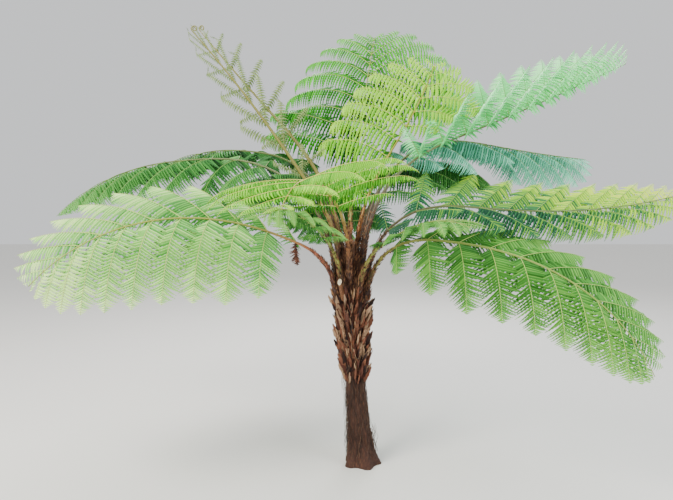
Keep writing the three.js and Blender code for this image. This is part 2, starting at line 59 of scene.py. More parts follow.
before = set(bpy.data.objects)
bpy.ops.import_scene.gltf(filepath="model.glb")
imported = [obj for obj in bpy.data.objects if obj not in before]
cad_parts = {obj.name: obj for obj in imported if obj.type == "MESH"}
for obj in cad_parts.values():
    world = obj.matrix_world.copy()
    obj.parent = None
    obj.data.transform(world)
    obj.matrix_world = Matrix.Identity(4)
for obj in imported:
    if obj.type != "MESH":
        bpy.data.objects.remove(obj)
FRAME_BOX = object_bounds()
BODY = "root"

# The trunk, as the solids have it
CROWN_HEIGHT = 1.060
LEAN_RIGHT = -0.060
LEAN_BACK = -0.050
TRUNK_PROFILE = (
    (0.0, 0.088), (0.055, 0.073), (0.150, 0.060), (0.300, 0.053), (0.450, 0.050),
    (0.560, 0.056), (0.700, 0.064), (0.820, 0.064), (0.910, 0.054), (0.990, 0.040),
    (1.045, 0.024), (1.075, 0.009),
)
PROFILE_STEPS = 120
FLARE_HEIGHT = 0.140            # the foot swells into blunt lobes below this
FLARE_LOBES = 5
FLARE_DEPTH = 0.14
GOLDEN_ANGLE = 137.508

# Ribs and leaflets, as the solids have them
STALK_RADIUS = 0.012
TIP_RADIUS = 0.0024
RIB_TAPER = 0.85
SWELL = 1.25                    # thickness of a stalk's foot, over the stalk's
BASE_LENGTH = 0.026             # how far out of the trunk that foot reaches
BASE_SUNK = (2.4, 2.2)          # how far in and down its root lies, over the stalk's radius
FOOT_CLEAR = 0.0015             # between the foot and the trunk
RIB_STEPS = 28
HOLD_POWER = 1.6                # how long a stalk stays upright before it arches
ARCH_POWER = 1.3                # how late the outer half of a frond bends down
CROWD_POWER = 1.4               # how leaflets crowd towards the tip
LEAFLET_ROOT = 0.32             # width of a leaflet's root, over the leaflet spacing
LEAFLET_STEPS = 8
DROOP_LENGTH = 0.400            # a leaflet this long bends down by its frond's droop
GROWN_AT = 0.26                 # leaflets are longest this far from the lowest to the tip
LOWEST_SHARE = 0.6              # length of the lowest leaflet, over the longest
LAST_SHARE = 0.08               # the same of the last one
LEAST_ROOM = 0.05               # for a leaflet that runs along its rib, squared
LIFT = 8                        # degrees that leaflets stand out of the frond's plane
OPEN = 72                       # degrees between the lowest leaflet and the rib
CLOSE = 30                      # how much less that is at the tip
# Length and droop that the solids try a leaflet with in turn, over its own
TRIALS = ((1, 1), (1, 1.7), (1, 0.5), (0.8, 1), (0.8, 1.8), (0.62, 1), (0.45, 1))
TIP_MATCH = 0.0008              # a solid leaflet's tip lies this near where the rule puts it

# Leaflets as they are seen
LINE_STEPS = 26
CURL_FROM = 0.72                # where along a leaflet its tip starts to roll in
CURL_SPREAD = (0.75, 1.15)      # least and most of that, over what its frond has
TWIST_SPREAD = (0.5, 1.3)       # the same of its turn about its midrib
RIB_SLIM = 0.62                 # thickness of a rib among its leaflets, over the solid's
MIDRIB_THICKEST = 0.0021
MIDRIB_OF_RIB = 0.2             # radius of a midrib's root, over its rib's
MIDRIB_OF_LENGTH = 0.004        # what that radius gains, over the leaflet's length
MIDRIB_TIP = 0.00055
TIP_COIL = 0.016                # radius of the rolled-up tip of a young frond
TIP_COIL_CLOSES = 0.3           # its inner radius, over the outer one
TIP_COIL_TURNS = 1.4
TIP_COIL_STEPS = 22
TIP_COIL_THICK = (0.0034, 0.0022)
RIB_SECTION = (
    (0.0, 0.55), (0.42, 0.86), (0.88, 0.62), (0.95, 0.0), (0.72, -0.68), (0.0, -1.0),
    (-0.72, -0.68), (-0.95, 0.0), (-0.88, 0.62), (-0.42, 0.86),
)
MIDRIB_SECTION = ((0.0, 0.9), (0.9, 0.0), (0.0, -0.9), (-0.9, 0.0))
ROUND_SECTION = tuple(
    (math.cos(math.radians(turn)), math.sin(math.radians(turn))) for turn in range(0, 360, 30))

# The rows of lobes on a leaflet
LOBE_SHARE = 0.31               # longest that lobes can be, over their leaflet
YOUNG_SHARE = 0.12              # the same on a frond that still unfolds
LOBE_LENGTHS = (0.93, 1.03)
LOBE_SHORTEST = 0.07            # length of the last lobe, over the longest
LOBE_STARTS = (0.62, 4.5)       # the same of the first lobe, and how fast the next ones grow
LOBE_FULL_TO = 0.36             # where along the leaflet lobes start to get shorter
LOBE_NARROWS = 1.5              # power by which lobes get shorter and closer at the tip
FIRST_LOBE = 0.2                # how far it stands from the rib, over the lobe spacing
TIP_PITCH = 0.55                # lobe spacing at the leaflet's tip, over that at its root
SMALL_PITCH = 0.45              # lobe spacing where lobes are tiny, over the usual
FULL_PITCH_GAIN = 0.06          # lobe length that adds one whole spacing to that
HANG_SPREAD = (0.8, 1.2)
LOBE_KEYS = ("forward", "across", "face", "reach", "pitch", "along", "tone", "hang")

# The shape of one lobe
LOBE_BREADTH = 0.5              # half the width of a unit lobe
LOBE_ROOT = (0.72, 3.5)         # its width at its root, and how fast it reaches the full width
LOBE_POINT = (1.7, 0.9)         # powers that round off its tip
LOBE_FOLD = 0.28                # how far its margins hang, over the distance from its vein
LOBE_ARCH = 0.24                # how far its tip hangs, over its length
LOBE_HOOK = 1.1                 # how far its tip bends to the leaflet's tip, over its width
TOOTH_DEPTH = 0.32
TOOTH_TIP = (0.72, 0.45)        # where a tooth's tip lies along it, and where its width is taken
VEIN_SHARE = 0.22               # the part of its width that is the pale vein
VEIN_TONE = 0.9                 # how much lighter the vein is, in tones

# Tones of leaves: 0 is the lightest and 3 the darkest
TONES = 4
TONE_SPREAD = 0.5               # how far neighbouring lobes differ in tone
LEAFLET_TONE_SPREAD = 0.3       # how far neighbouring leaflets do
PAINTED_SHADE_FADE = 0.65                # painted shade: how much darker a leaflet is at its root than at its middle, and painted light towards its tip
PAINTED_SHADE_FADE_POWER = 0.7

# Each frond has its shape as in the solids: its heading, where round the trunk and how high its
# foot sits, the elevations of its arch (rise at the foot, crest at the knee, fall at the tip),
# the knee and the bare stalk as fractions of its length, its length, longest leaflet and pairs
# of leaflets, and how far those on its right and left droop. roll lifts its right side, and
# fill is how much of their space leaflets that still unfold take. Then come its looks. palette
# names its leaf colours, some of which are painted sunlight and some painted shade. tones gives
# the tone at foot and tip of its right and of its left side, which is partly the frond's own
# colour and partly painted light and shade: lighter where sun falls on a side or tip, darker
# where the frond lies in shade. stalk names its rib colour, and the dark rib colours are
# painted shade. hang is how far its lobes hang of their own weight, curl is how far its
# leaflets' tips roll in, in degrees, reach and lobe are the length and the spacing of its lobes
# over the usual ones, and dead is the side (1 right, -1 left) whose lowest leaflet has withered.
FRONDS = (
    dict(name="frond_front_left", heading=203, seat=202, foot=0.840,
         rise=86, crest=22, fall=-48, knee=0.26, length=1.630,
         leaflet=0.440, pairs=12, bare=0.22, droop=(0.5, 1.9),
         roll=28, open=71, slot="frond_sunlit", palette="sunlit",
         tones=((1.7, 0.8), (1.7, 0.3)), stalk="russet", hang=0.16, dead=-1),
    dict(name="frond_front_right", heading=-25, seat=-25, foot=0.840,
         rise=84, crest=-5, fall=-66, knee=0.36, length=1.660,
         leaflet=0.400, pairs=12, bare=0.18, droop=(1.7, 0.5),
         roll=-18, slot="frond_green", palette="green",
         tones=((1.2, 0.4), (1.9, 0.8)), stalk="olive", hang=0.16),
    dict(name="frond_back_low", heading=95, seat=96, foot=0.850,
         rise=78, crest=10, fall=-55, knee=0.44, length=1.600,
         leaflet=0.400, pairs=11, bare=0.26, droop=(1.1, 1.1),
         slot="frond_deep", palette="deep",
         tones=((1.6, 1.0), (1.6, 1.0)), stalk="russet", hang=0.3),
    dict(name="frond_short_right", heading=-34, seat=-60, foot=0.890,
         rise=80, crest=26, fall=-24, knee=0.55, length=0.740,
         leaflet=0.270, pairs=8, bare=0.34, droop=(1.3, 0.8),
         slot="frond_green", palette="green",
         tones=((1.8, 0.8), (2.0, 1.0)), stalk="olive", hang=0.2, reach=0.55, lobe=0.85),
    dict(name="frond_left", heading=160, seat=168, foot=0.890,
         rise=86, crest=-3, fall=-42, knee=0.58, length=2.100,
         leaflet=0.390, pairs=13, bare=0.27, droop=(0.9, 1.2),
         roll=12, slot="frond_deep", palette="deep",
         tones=((1.8, 0.8), (1.6, 0.4)), stalk="dark", hang=0.35),
    dict(name="frond_short_left", heading=225, seat=231, foot=0.915,
         rise=80, crest=32, fall=-38, knee=0.62, length=0.690,
         leaflet=0.300, pairs=8, bare=0.36, droop=(1, 1.3),
         slot="frond_green", palette="green",
         tones=((1.2, 0.1), (0.9, 0.0)), stalk="olive", hang=0.2, reach=0.52, lobe=0.85),
    dict(name="frond_back_left", heading=118, seat=122, foot=0.920,
         rise=82, crest=12, fall=-39, knee=0.45, length=1.740,
         leaflet=0.390, pairs=12, bare=0.25, droop=(1.1, 1.2),
         slot="frond_deep", palette="deep",
         tones=((2.2, 1.4), (2.2, 1.4)), stalk="dark", hang=0.35),
    dict(name="frond_right_level", heading=5, seat=-5, foot=0.900,
         rise=84, crest=-5, fall=15, knee=0.42, length=1.850,
         leaflet=0.370, pairs=13, bare=0.15, droop=(0.7, 0.2),
         roll=-20, lift=20, open=62, slot="frond_sunlit", palette="level",
         tones=((3.2, 1.2), (2.8, 0.0)), stalk="dark", hang=0.35, lobe=1.15),
    dict(name="frond_back_right", heading=56, seat=76, foot=0.930,
         rise=82, crest=13, fall=-40, knee=0.5, length=1.780,
         leaflet=0.390, pairs=12, bare=0.26, droop=(1.1, 0.9),
         slot="frond_deep", palette="deep",
         tones=((1.8, 1.0), (1.8, 1.0)), stalk="dark", hang=0.35),
    dict(name="frond_left_high", heading=138, seat=146, foot=0.950,
         rise=87, crest=5, fall=-23, knee=0.58, length=1.850,
         leaflet=0.380, pairs=12, bare=0.28, droop=(0.9, 1.3),
         roll=4, slot="frond_deep", palette="deep",
         tones=((2.0, 1.2), (2.0, 1.4)), stalk="dark", hang=0.35),
    dict(name="frond_right_back", heading=36, seat=42, foot=0.950,
         rise=87, crest=-5, fall=-2, knee=0.6, length=2.200,
         leaflet=0.400, pairs=13, bare=0.3, droop=(1.6, 0.6),
         roll=-6, slot="frond_blue", palette="blue",
         tones=((1.7, 0.7), (1.8, 0.8)), stalk="dark", hang=0.6),
    dict(name="frond_right_high", heading=20, seat=17, foot=0.975,
         rise=87, crest=21, fall=24, knee=0.46, length=2.040,
         leaflet=0.370, pairs=13, bare=0.32, droop=(0.25, 0.25),
         lift=48, slot="frond_green", palette="mint",
         tones=((1.8, 0.2), (1.5, 0.0)), stalk="dark", hang=0.15, reach=0.8),
    dict(name="frond_front", heading=250, seat=264, foot=0.960,
         rise=86, crest=18, fall=-50, knee=0.58, length=1.060,
         leaflet=0.460, pairs=9, bare=0.36, droop=(0.5, 0.5),
         roll=-10, lift=16, open=86, slot="frond_sunlit", palette="bright",
         tones=((2.0, 1.0), (1.8, 0.8)), stalk="amber", hang=0.75, curl=35, reach=0.5, lobe=0.8),
    dict(name="frond_upright", heading=40, seat=68, foot=1.005,
         rise=84, crest=50, fall=64, knee=0.55, length=1.210,
         leaflet=0.450, pairs=10, bare=0.28, droop=(1.1, 1.1),
         roll=-35, lift=20, open=88, slot="frond_sunlit", palette="bright",
         tones=((1.0, 0.3), (0.9, 0.0)), stalk="amber", hang=0.25, curl=130, lobe=1.4),
    dict(name="frond_upright_back", heading=76, seat=104, foot=1.015,
         rise=82, crest=60, fall=51, knee=0.4, length=1.410,
         leaflet=0.640, pairs=12, bare=0.22, droop=(0.8, 0.8),
         open=68, slot="frond_green", palette="plume",
         tones=((1.9, 0.8), (1.9, 0.9)), stalk="olive", hang=0.25, curl=60, lobe=1.15),
    dict(name="frond_young_outer", heading=173, seat=180, foot=1.000,
         rise=86, crest=56, fall=48, knee=0.31, length=1.370,
         leaflet=0.300, pairs=8, bare=0.34, droop=(0, 0),
         roll=75, open=35, fill=0.35, slot="frond_young", palette="young",
         tones=((1.4, 1.8), (1.4, 1.8)), stalk="straw", hang=0.1, curl=150),
    dict(name="frond_young_inner", heading=158, seat=140, foot=1.035,
         rise=81, crest=46, fall=48, knee=0.57, length=1.440,
         leaflet=0.190, pairs=7, bare=0.34, droop=(0, 0),
         roll=75, open=86, fill=0.35, slot="frond_young", palette="young",
         tones=((1.2, 1.6), (1.2, 1.6)), stalk="straw", hang=0.1, curl=210),
)

# Croziers, as the solids have them
COIL_TURNS = 1.3
COIL_POINTS = 44
COIL_TIGHTENS = 0.62            # how much smaller its radius gets, over the first
COIL_THINS = 0.45               # thickness of the stalk's end, over its foot's
CROZIER_STALK_POINTS = 6
CROZIER_AGE = (0.04, 0.22)      # where its foot and coil lie on a stalk's colours
CROZIER_STANDS_OUT = 0.3        # of the trunk, over the stalk's radius
CROZIER_SUNK = 2.5              # how far down inside the trunk it starts, over the same
CROZIERS = (
    dict(name="crozier_tall", heading=95, foot=1.040, stalk=0.150, coil=0.028, radius=0.0075),
    dict(name="crozier_small", heading=290, foot=1.020, stalk=0.095, coil=0.020, radius=0.006),
)

# Old frond bases, as the solids have them, and how they have weathered
STUB_COUNT = 30
STUB_LOWEST = 0.455
STUB_HIGHEST = 0.715
STUB_LENGTH = (0.095, 0.135)
STUB_LEAN = (14, 24)            # degrees away from the trunk
STUB_HALF_WIDTH = 0.012
STUB_HALF_DEPTH = 0.007
STUB_SLANT = 1.6                # how far the broken end can slant, over its half width
STUB_SEED = 7
# Share of the length, width and depth at its root, its middle and its tip
STUB_SECTIONS = ((-0.22, 0.7, 0.9), (0.3, 1.0, 1.0), (1.0, 0.72, 0.7))
BASE_AROUND = 18
BASE_ROWS = 20
BASE_POINTS = (BASE_ROWS + 1) * BASE_AROUND + 1
BASE_RAGGED = (-0.2, 0.07)      # how much shorter or longer its strands end, over its length
BASE_WAVES = (                  # waves round it, step from base to base, waves along it, depth
    (2.6, 7.1, 1.4, 0.28), (7, 3.3, 3, 0.16),
)
BASE_SPLAY = 0.10               # how far its strands spread at their ends, over its length
BASE_SPLAYS_FROM = 0.7
BASE_SPLAY_SPREAD = (-0.4, 1.0)
BASE_HOLLOW = 0.016             # how far the broken end is hollowed
BASE_SHARES = (0.4, 0.35, 0.25)
BASE_SKINS = (
    ("dead frond base, rusty skin", "#40231a", "#935a38"),
    ("dead frond base, dark skin", "#2c1814", "#6c402f"),
    ("dead frond base, bare strands", "#4e3429", "#b8926e"),
    ("broken pith, dry", "#8a6a4c", "#d0b692"),
)

# The trunk's bark: each wave of its relief has waves a metre across and along the trunk, an
# offset and its share of the depth
BARK_AROUND = 128
BARK_ROWS = 320
BARK_WAVES = ((95, 9, 0, 0.6), (270, 26, 0, 0.3), (40, 30, 7, 0.35))
BARK_SUNK = 0.25                # how far the relief lies inside the trunk, over its depth
BARK_FULL_RADIUS = 0.040        # the relief fades where the trunk is thinner than this

# Small dead parts that are strewn over the plant: the spread of where each sits (a height or a
# share of the way), of its turn round what it sits on, of how it leans out and aside and of
# its size, and the share of each tone, the palest first
AROUND = (0, 360)
HUSKS = dict(height=(0.43, 0.86), turn=AROUND, lean=(3, 30), aside=(-0.28, 0.28),
             length=(0.035, 0.085), girth=(0.006, 0.013), tones=(0.2, 0.3, 0.3, 0.2))
HUSK_SUNK = 0.003
HUSK_ROWS = (
    (0, 0.4), (0.2, 0.5), (0.4, 0.42), (0.6, 0.46), (0.75, 0.3), (0.9, 0.22), (1, 0.03),
)
FIBRES = dict(share=(0, 1), turn=AROUND, lean=(0.0, 0.1), aside=(-0.3, 0.3),
              length=(0.05, 0.13), girth=(0.0012, 0.0028), tones=(0.12, 0.3, 0.33, 0.25))
FIBRE_LOWEST = 0.05
FIBRE_RISE = 0.66               # how far above that the highest fibre starts
FIBRE_CROWD = 1.1               # how fibres crowd towards the foot
FIBRE_CLEAR = 0.012             # a fibre that would end below this height grows upwards
FIBRE_STEPS = 6
FIBRE_WAVES = ((0.9, 7, 0), (0.05, 9, 1))  # how far, how fast and from where: aside, out
FIBRE_TAPER = 0.7
FIBRE_FLAT = 0.02               # its thickness in the shape, which is stretched by its length
FOOT_SCALES = dict(share=(0, 1), turn=AROUND, lean=(0.04, 0.3), aside=(-0.25, 0.25),
                   length=(0.013, 0.03), girth=(0.0022, 0.0042), tones=(0.2, 0.32, 0.3, 0.18))
CROWN_SCALES = dict(height=(0.83, 1.07), turn=AROUND, lean=(0.03, 0.3), aside=(-0.3, 0.3),
                    length=(0.018, 0.045), girth=(0.0024, 0.005), tones=(0.15, 0.3, 0.33, 0.22))
COIL_SCALES = dict(share=(0, 1), turn=AROUND, ahead=(0.5, 1), lean=(0.2, 0.7),
                   length=(0.007, 0.014), girth=(0.0012, 0.0022), tones=(0.35, 0.35, 0.2, 0.1))
SCALE_ROWS = ((0, 0.25), (0.25, 0.5), (0.6, 0.36), (1, 0.02))
SCALE_SUNK = 0.82               # how far out a scale stands, over the stalk's radius
COIL_SCALE_SUNK = 0.85
SCALY_LENGTH = 0.30             # how far up a frond's foot its scales reach
SCALY_CROWD = 1.6               # how they crowd towards it
SCALY_SHRINK = 0.5              # how much shorter the last of them are
CROWN_TIMES = 7                 # scales on the growing point, over those on a frond's foot
SWAY_WAVES = 5.0                # how fast a husk sways from side to side

# The leaflet that withered on the lowest front frond
WITHERED_LENGTH = 0.115
WITHERED_STEPS = 16
WITHERED_ASIDE = -0.3           # how far from straight down it starts
WITHERED_WAVER = 0.12           # how far its direction strays at each step
WITHERED_WEIGHT = 0.1           # how far its weight turns it down at each step
WITHERED_LOBE = 0.036
WITHERED_PITCH = 0.016
WITHERED_HANG = 0.9
WITHERED_MIDRIB = (0.0022, 0.0008)
WITHERED_SEED = 9

# The stalk that was cut off below the crown
CUT_SEAT = 236
CUT_FOOT = 0.848
CUT_LENGTH = 0.098
CUT_RADIUS = 0.0112
CUT_FLAT = 0.85                 # its thickness over its width
CUT_LEAN = 24
CUT_SLANT = 1.1                 # drop of the cut face across half the stalk, over its radius
CUT_SWELL = 0.35
CUT_RIDGES = (3, 0.08)          # waves around it and their depth
CUT_ROWS = 8
CUT_AROUND = 16
CUT_SKINS = (
    ("dead frond base, weathered", "#4a2d1e", "#8a5a38"),
    ("cut pith, dry and pale", "#c9b594", "#efe2c6"),
)

# Dead and fibrous parts, from the palest to the darkest tone
HUSK_TONES = ("#ab8a6c", "#7e4e38", "#562f23", "#2c1915")
SCALE_TONES = ("#946b49", "#714831", "#4d2f21", "#301d16")
FIBRE_TONES = ("#6d5240", "#4b3528", "#33221a", "#20150f")

# Leaf colours from the lightest to the darkest tone. Several palettes are lit and shaded copies of
# the one leaf green. sunlit holds painted sunlight. bright holds painted sunlight on the fresh
# yellow-green of young upright fronds. level holds painted sunlight in its light tones and painted
# shade in its dark ones. deep and blue hold painted shade for fronds that lie in shade at the back.
PALETTES = {
    "sunlit": ("#ccf096", "#8ece68", "#58a44c", "#3a7e34"),
    "bright": ("#a4dc3c", "#6cb822", "#408c18", "#286814"),
    "level": ("#d0ea4c", "#92ca32", "#3a7e48", "#20563c"),
    "green": ("#7aba4e", "#4c9238", "#306c24", "#1e4e1a"),
    "plume": ("#62c834", "#3e9c20", "#2a741c", "#1c5618"),
    "mint": ("#b0ffb8", "#80f094", "#54cc6c", "#38a054"),
    "deep": ("#6aac54", "#40843a", "#28622a", "#19451e"),
    "blue": ("#9ae6c8", "#6cbea2", "#449476", "#2c6e56"),
    "young": ("#98aa6c", "#718850", "#58703c", "#465428"),
    "withered": ("#7a4a38", "#5a3428", "#42261e", "#2e1a16"),
}
# Rib colours at the foot, along the stalk and at the tip, then of the leaflets' midribs. dark is a
# darker copy of these for fronds that lie in shade, which is painted shade.
STALKS = {
    "russet": ("#3c2218", "#a4573a", "#93983f", "#b7c368"),
    "amber": ("#422718", "#9c6230", "#a39c3c", "#c8cc5e"),
    "olive": ("#3f2818", "#908b3c", "#8aa044", "#a9c35c"),
    "straw": ("#43301b", "#766629", "#767432", "#7d8a48"),
    "dark": ("#33201a", "#4e4029", "#5f7038", "#7b9a48"),
}

# Grain of the materials in noise cells a metre. Root fibres of 1 to 2 mm are drawn 4 mm wide
# and 32 mm long, and the strands of a base 3 mm wide and 30 mm long, so that they show.
STALK_GRAIN = 160.0             # scurf and ridges in spots of 6 mm
FIBRE_GRAIN = 260.0
FIBRE_DRAWN = 0.12              # waves along the trunk over those across it
PATCH_GRAIN = 22.0              # worn patches of 45 mm
STRAND_GRAIN = 330.0
STRAND_DRAWN = 0.1
STALK_STOPS = (0.05, 0.16, 0.4)  # how far up a stalk its three colours lie
STALK_MOTTLE = 0.16             # how far up and down they wander
BARK_STOPS = ((0.34, "#1c120c"), (0.52, "#46291b"), (0.72, "#7a4f33"))
BARK_PATCH = "#3a2118"
STRAND_STOPS = (0.38, 0.64)
LEAF_ROUGHNESS = 0.55
LEAF_SPECULAR = 0.22
STALK_ROUGHNESS = 0.5
BASE_ROUGHNESS = 0.85
DRY_ROUGHNESS = 0.88
BARK_ROUGHNESS = 0.92

# The stage, with the camera where the photograph was taken from
PHOTO_WIDTH = 673
FOCAL_PIXELS = 700
SENSOR_WIDTH = 36.0
CAMERA_PLACE = (-0.129, -3.43, 1.38)
CAMERA_PITCH = 5.0
FLOOR_HALF = 14.0
FLOOR_ROUGHNESS = 0.9
SKY_COLOUR = "#f4f6f8"
SKY_STRENGTH = 0.95
LIGHT_TARGET = (-0.05, 0.0, 1.2)
LIGHTS = (                      # name, place, side, power over the key light's, colour
    ("key light", (-3.2, -3.4, 4.6), 2.6, 1.0, "#fffaf0"),
    ("fill light", (3.8, -2.6, 2.6), 3.0, 0.3, "#eaf2ff"),
    ("back light", (0.8, 3.6, 4.4), 2.4, 0.45, "#ffffff"),
)

UP = np.array([0.0, 0.0, 1.0])


def linear(hex_colour):
    """An sRGB hex colour as linear red, green, blue and a full alpha."""
    channels = [int(hex_colour[i:i + 2], 16) / 255 for i in (1, 3, 5)]
    return [c / 12.92 if c <= 0.04045 else ((c + 0.055) / 1.055) ** 2.4 for c in channels] + [1.0]


def mix(a, b, t):
    return a + (b - a) * t


def unit(v):
    return v / np.linalg.norm(v)


def outward(degrees):
    turn = math.radians(degrees)
    return np.array([math.cos(turn), math.sin(turn), 0.0])


def turned(start, towards, degrees):
    """The first direction turned towards the second, at right angles to it."""
    turn = math.radians(degrees)
    return start * math.cos(turn) + towards * math.sin(turn)


class FernSettings(bpy.types.PropertyGroup):
    lobe_spacing: FloatProperty(
        name="Lobe spacing", description="Distance between lobes along a leaflet",
        default=0.0168, min=0.008, unit="LENGTH")
    lobe_reach: FloatProperty(
        name="Lobe reach", description="Length of the longest lobes over the leaflet spacing",
        default=1.2, min=0.1, subtype="FACTOR")
    lobe_width: FloatProperty(
        name="Lobe width", description="Width of a lobe over the lobe spacing",
        default=1.02, min=0.1, subtype="FACTOR")
    lobe_angle_root: FloatProperty(
        name="Angle at root", description="Between lobe and midrib at a leaflet's root",
        default=math.radians(88), subtype="ANGLE")
    lobe_angle_tip: FloatProperty(
        name="Angle at tip", description="Between lobe and midrib at a leaflet's tip",
        default=math.radians(52), subtype="ANGLE")
    lobe_droop: FloatProperty(
        name="Lobe droop", description="How far lobes hang below the leaflet's plane",
        default=math.radians(10), subtype="ANGLE")
    lobe_wobble: FloatProperty(
        name="Lobe wobble", description="How uneven the directions of lobes are",
        default=0.09, min=0.0)
    lobe_teeth: IntProperty(
        name="Teeth", description="Teeth on each side of a lobe", default=6, min=2, max=12)
    leaflet_twist: FloatProperty(
        name="Leaflet twist", description="How far a leaflet turns about its midrib",
        default=math.radians(12), subtype="ANGLE")
    bark_relief: FloatProperty(
        name="Bark relief", description="Depth of the ridges between root fibres",
        default=0.006, min=0.0, unit="LENGTH")
    fibres: IntProperty(
        name="Root fibres", description="Loose root fibres on the trunk", default=900, min=1)
    husks: IntProperty(
        name="Husks", description="Ragged strips between the old frond bases", default=460, min=1)
    scales: IntProperty(
        name="Scales", description="Papery scales on each frond's foot", default=330, min=1)
    seed: IntProperty(name="Seed", description="Changes every uneven detail", default=11)
    floor_colour: FloatVectorProperty(
        name="Floor", description="Colour of the floor and backdrop", subtype="COLOR",
        default=linear("#e9e7e2")[:3])
    key_power: FloatProperty(
        name="Key light", description="Power of the large light on the left",
        default=520.0, min=0.0, subtype="POWER")


def settings():
    return bpy.context.scene.tree_fern


def add_node(tree, kind, inputs=None, stops=(), **values):
    """A new node with its settings, its inputs set to values or linked to sockets or to the
    first output of other nodes, and the stops of its colour ramp."""
    node = tree.nodes.new(kind)
    for name, value in values.items():
        setattr(node, name, value)
    for key, value in (inputs or {}).items():
        if isinstance(value, bpy.types.Node):
            value = value.outputs[0]
        if isinstance(value, bpy.types.NodeSocket):
            tree.links.new(value, node.inputs[key])
        else:
            node.inputs[key].default_value = value
    for k, (place, colour) in enumerate(stops):
        ramp = node.color_ramp.elements
        stop = ramp[k] if k < len(ramp) else ramp.new(place)
        stop.position, stop.color = place, linear(colour)
    return node


# The rule of the solids


def profile_points():
    points = np.array(TRUNK_PROFILE)
    last = len(points) - 1
    places = []
    for k in range(PROFILE_STEPS + 1):
        x = last * k / PROFILE_STEPS
        i = min(int(x), last)
        w = x - i
        p0, p1 = points[max(i - 1, 0)], points[i]
        p2, p3 = points[min(i + 1, last)], points[min(i + 2, last)]
        v0, v1 = (p2 - p0) / 2, (p3 - p1) / 2
        cubic = (2 * p1 - 2 * p2 + v0 + v1) * w ** 3
        places.append(cubic + (3 * p2 - 3 * p1 - 2 * v0 - v1) * w ** 2 + v0 * w + p1)
    return np.array(places)


PROFILE = profile_points()


def trunk_radius(z):
    return float(np.interp(z, PROFILE[:, 0], PROFILE[:, 1]))


def trunk_axis(z):
    share = z / CROWN_HEIGHT
    bow = math.sin(math.pi / 2 * min(1, share))
    return np.array([LEAN_RIGHT * bow, LEAN_BACK * share, z])


def flared_radius(z, turn):
    """The trunk's radius at a height and a turn round it, with the flare at its foot."""
    flare = max(0.0, 1 - z / FLARE_HEIGHT)
    return trunk_radius(z) * (1 + FLARE_DEPTH * flare * math.cos(math.radians(FLARE_LOBES * turn)))


def on_trunk(z, turn):
    return trunk_axis(z) + outward(turn) * flared_radius(z, turn)


def elevation(frond, t):
    knee = frond["knee"]
    if t < knee:
        return mix(frond["rise"], frond["crest"], math.sin(math.pi / 2 * t / knee) ** HOLD_POWER)
    return mix(frond["crest"], frond["fall"], ((t - knee) / (1 - knee)) ** ARCH_POWER)


def rib_curve(frond):
    reach = trunk_radius(frond["foot"]) + STALK_RADIUS * SWELL + FOOT_CLEAR
    points = [trunk_axis(frond["foot"]) + outward(frond["seat"]) * reach]
    tangents = []
    ahead = outward(frond["heading"])
    for k in range(RIB_STEPS):
        tangents.append(turned(ahead, UP, elevation(frond, (k + 0.5) / RIB_STEPS)))
        points.append(points[-1] + tangents[-1] * frond["length"] / RIB_STEPS)
    return dict(points=np.array(points), tangents=np.array(tangents), across=np.cross(ahead, UP))


def rib_at(curve, t):
    last = len(curve["tangents"])
    x = min(max(t * last, 0), last - 1e-6)
    y = min(max(x - 0.5, 0), last - 1 - 1e-6)
    i, j = int(x), int(y)
    point = mix(curve["points"][i], curve["points"][i + 1], x - i)
    tangent = unit(mix(curve["tangents"][j], curve["tangents"][j + 1], y - j))
    return point, tangent, np.cross(curve["across"], tangent)


def rib_radius(t):
    return mix(TIP_RADIUS, STALK_RADIUS, max(0.0, 1 - t) ** RIB_TAPER)


def foot_swell(distance):
    """How much thicker a stalk is at this distance from its foot than its taper says."""
    return 1 + (SWELL - 1) * math.exp(-distance / BASE_LENGTH)


def leaflet_share(u):
    grow = mix(LOWEST_SHARE, 1, math.sin(math.pi / 2 * min(1, u / GROWN_AT)))
    past = max(0.0, u - GROWN_AT) / (1 - GROWN_AT)
    return max(LAST_SHARE, grow * math.cos(math.pi / 2 * past ** 2))


def leaflet_spots(frond):
    def along(i):
        return 1 - (1 - i / frond["pairs"]) ** CROWD_POWER
    for i in range(frond["pairs"]):
        step = (along(i + 1) - along(i)) * (1 - frond["bare"])
        t = frond["bare"] + (1 - frond["bare"]) * along(i)
        yield dict(u=along(i), middle=t + LEAFLET_ROOT * step / 2, spacing=step * frond["length"])


def leaflet_line(frond, curve, spot, side, trial, steps=LEAFLET_STEPS, curl=0.0):
    """A leaflet's length, and points along its midrib with the way that the midrib, the blade's
    width and its face look there, and the room for the blade."""
    point, tangent, normal = rib_at(curve, spot["middle"])
    flat = turned(curve["across"], normal, frond.get("roll", 0))
    face = np.cross(flat, tangent)
    sideways = turned(flat * side, face, frond.get("lift", LIFT))
    direction = turned(tangent, sideways, frond.get("open", OPEN) - CLOSE * spot["u"])
    length = frond["leaflet"] * leaflet_share(spot["u"]) * trial[0]
    droop = frond["droop"][0 if side > 0 else 1] * trial[1] * length / DROOP_LENGTH
    spacing = spot["spacing"] * frond.get("fill", 1)
    line = []
    for k in range(1, steps + 1):
        direction = unit(direction - UP * droop / steps)
        slant = tangent @ direction
        width = unit(tangent - direction * slant)
        normal = np.cross(direction, width) * side
        rolled = max(0.0, k / steps - CURL_FROM) / (1 - CURL_FROM)
        if curl and rolled > 0:
            turn = curl * 2 * rolled / (steps * (1 - CURL_FROM))
            direction = turned(direction, -normal, turn)
            normal = np.cross(direction, width) * side
        point = point + direction * length / steps
        room = spacing * math.sqrt(max(LEAST_ROOM, 1 - slant * slant))
        line.append((point, direction, width, normal, room))
    return length, line


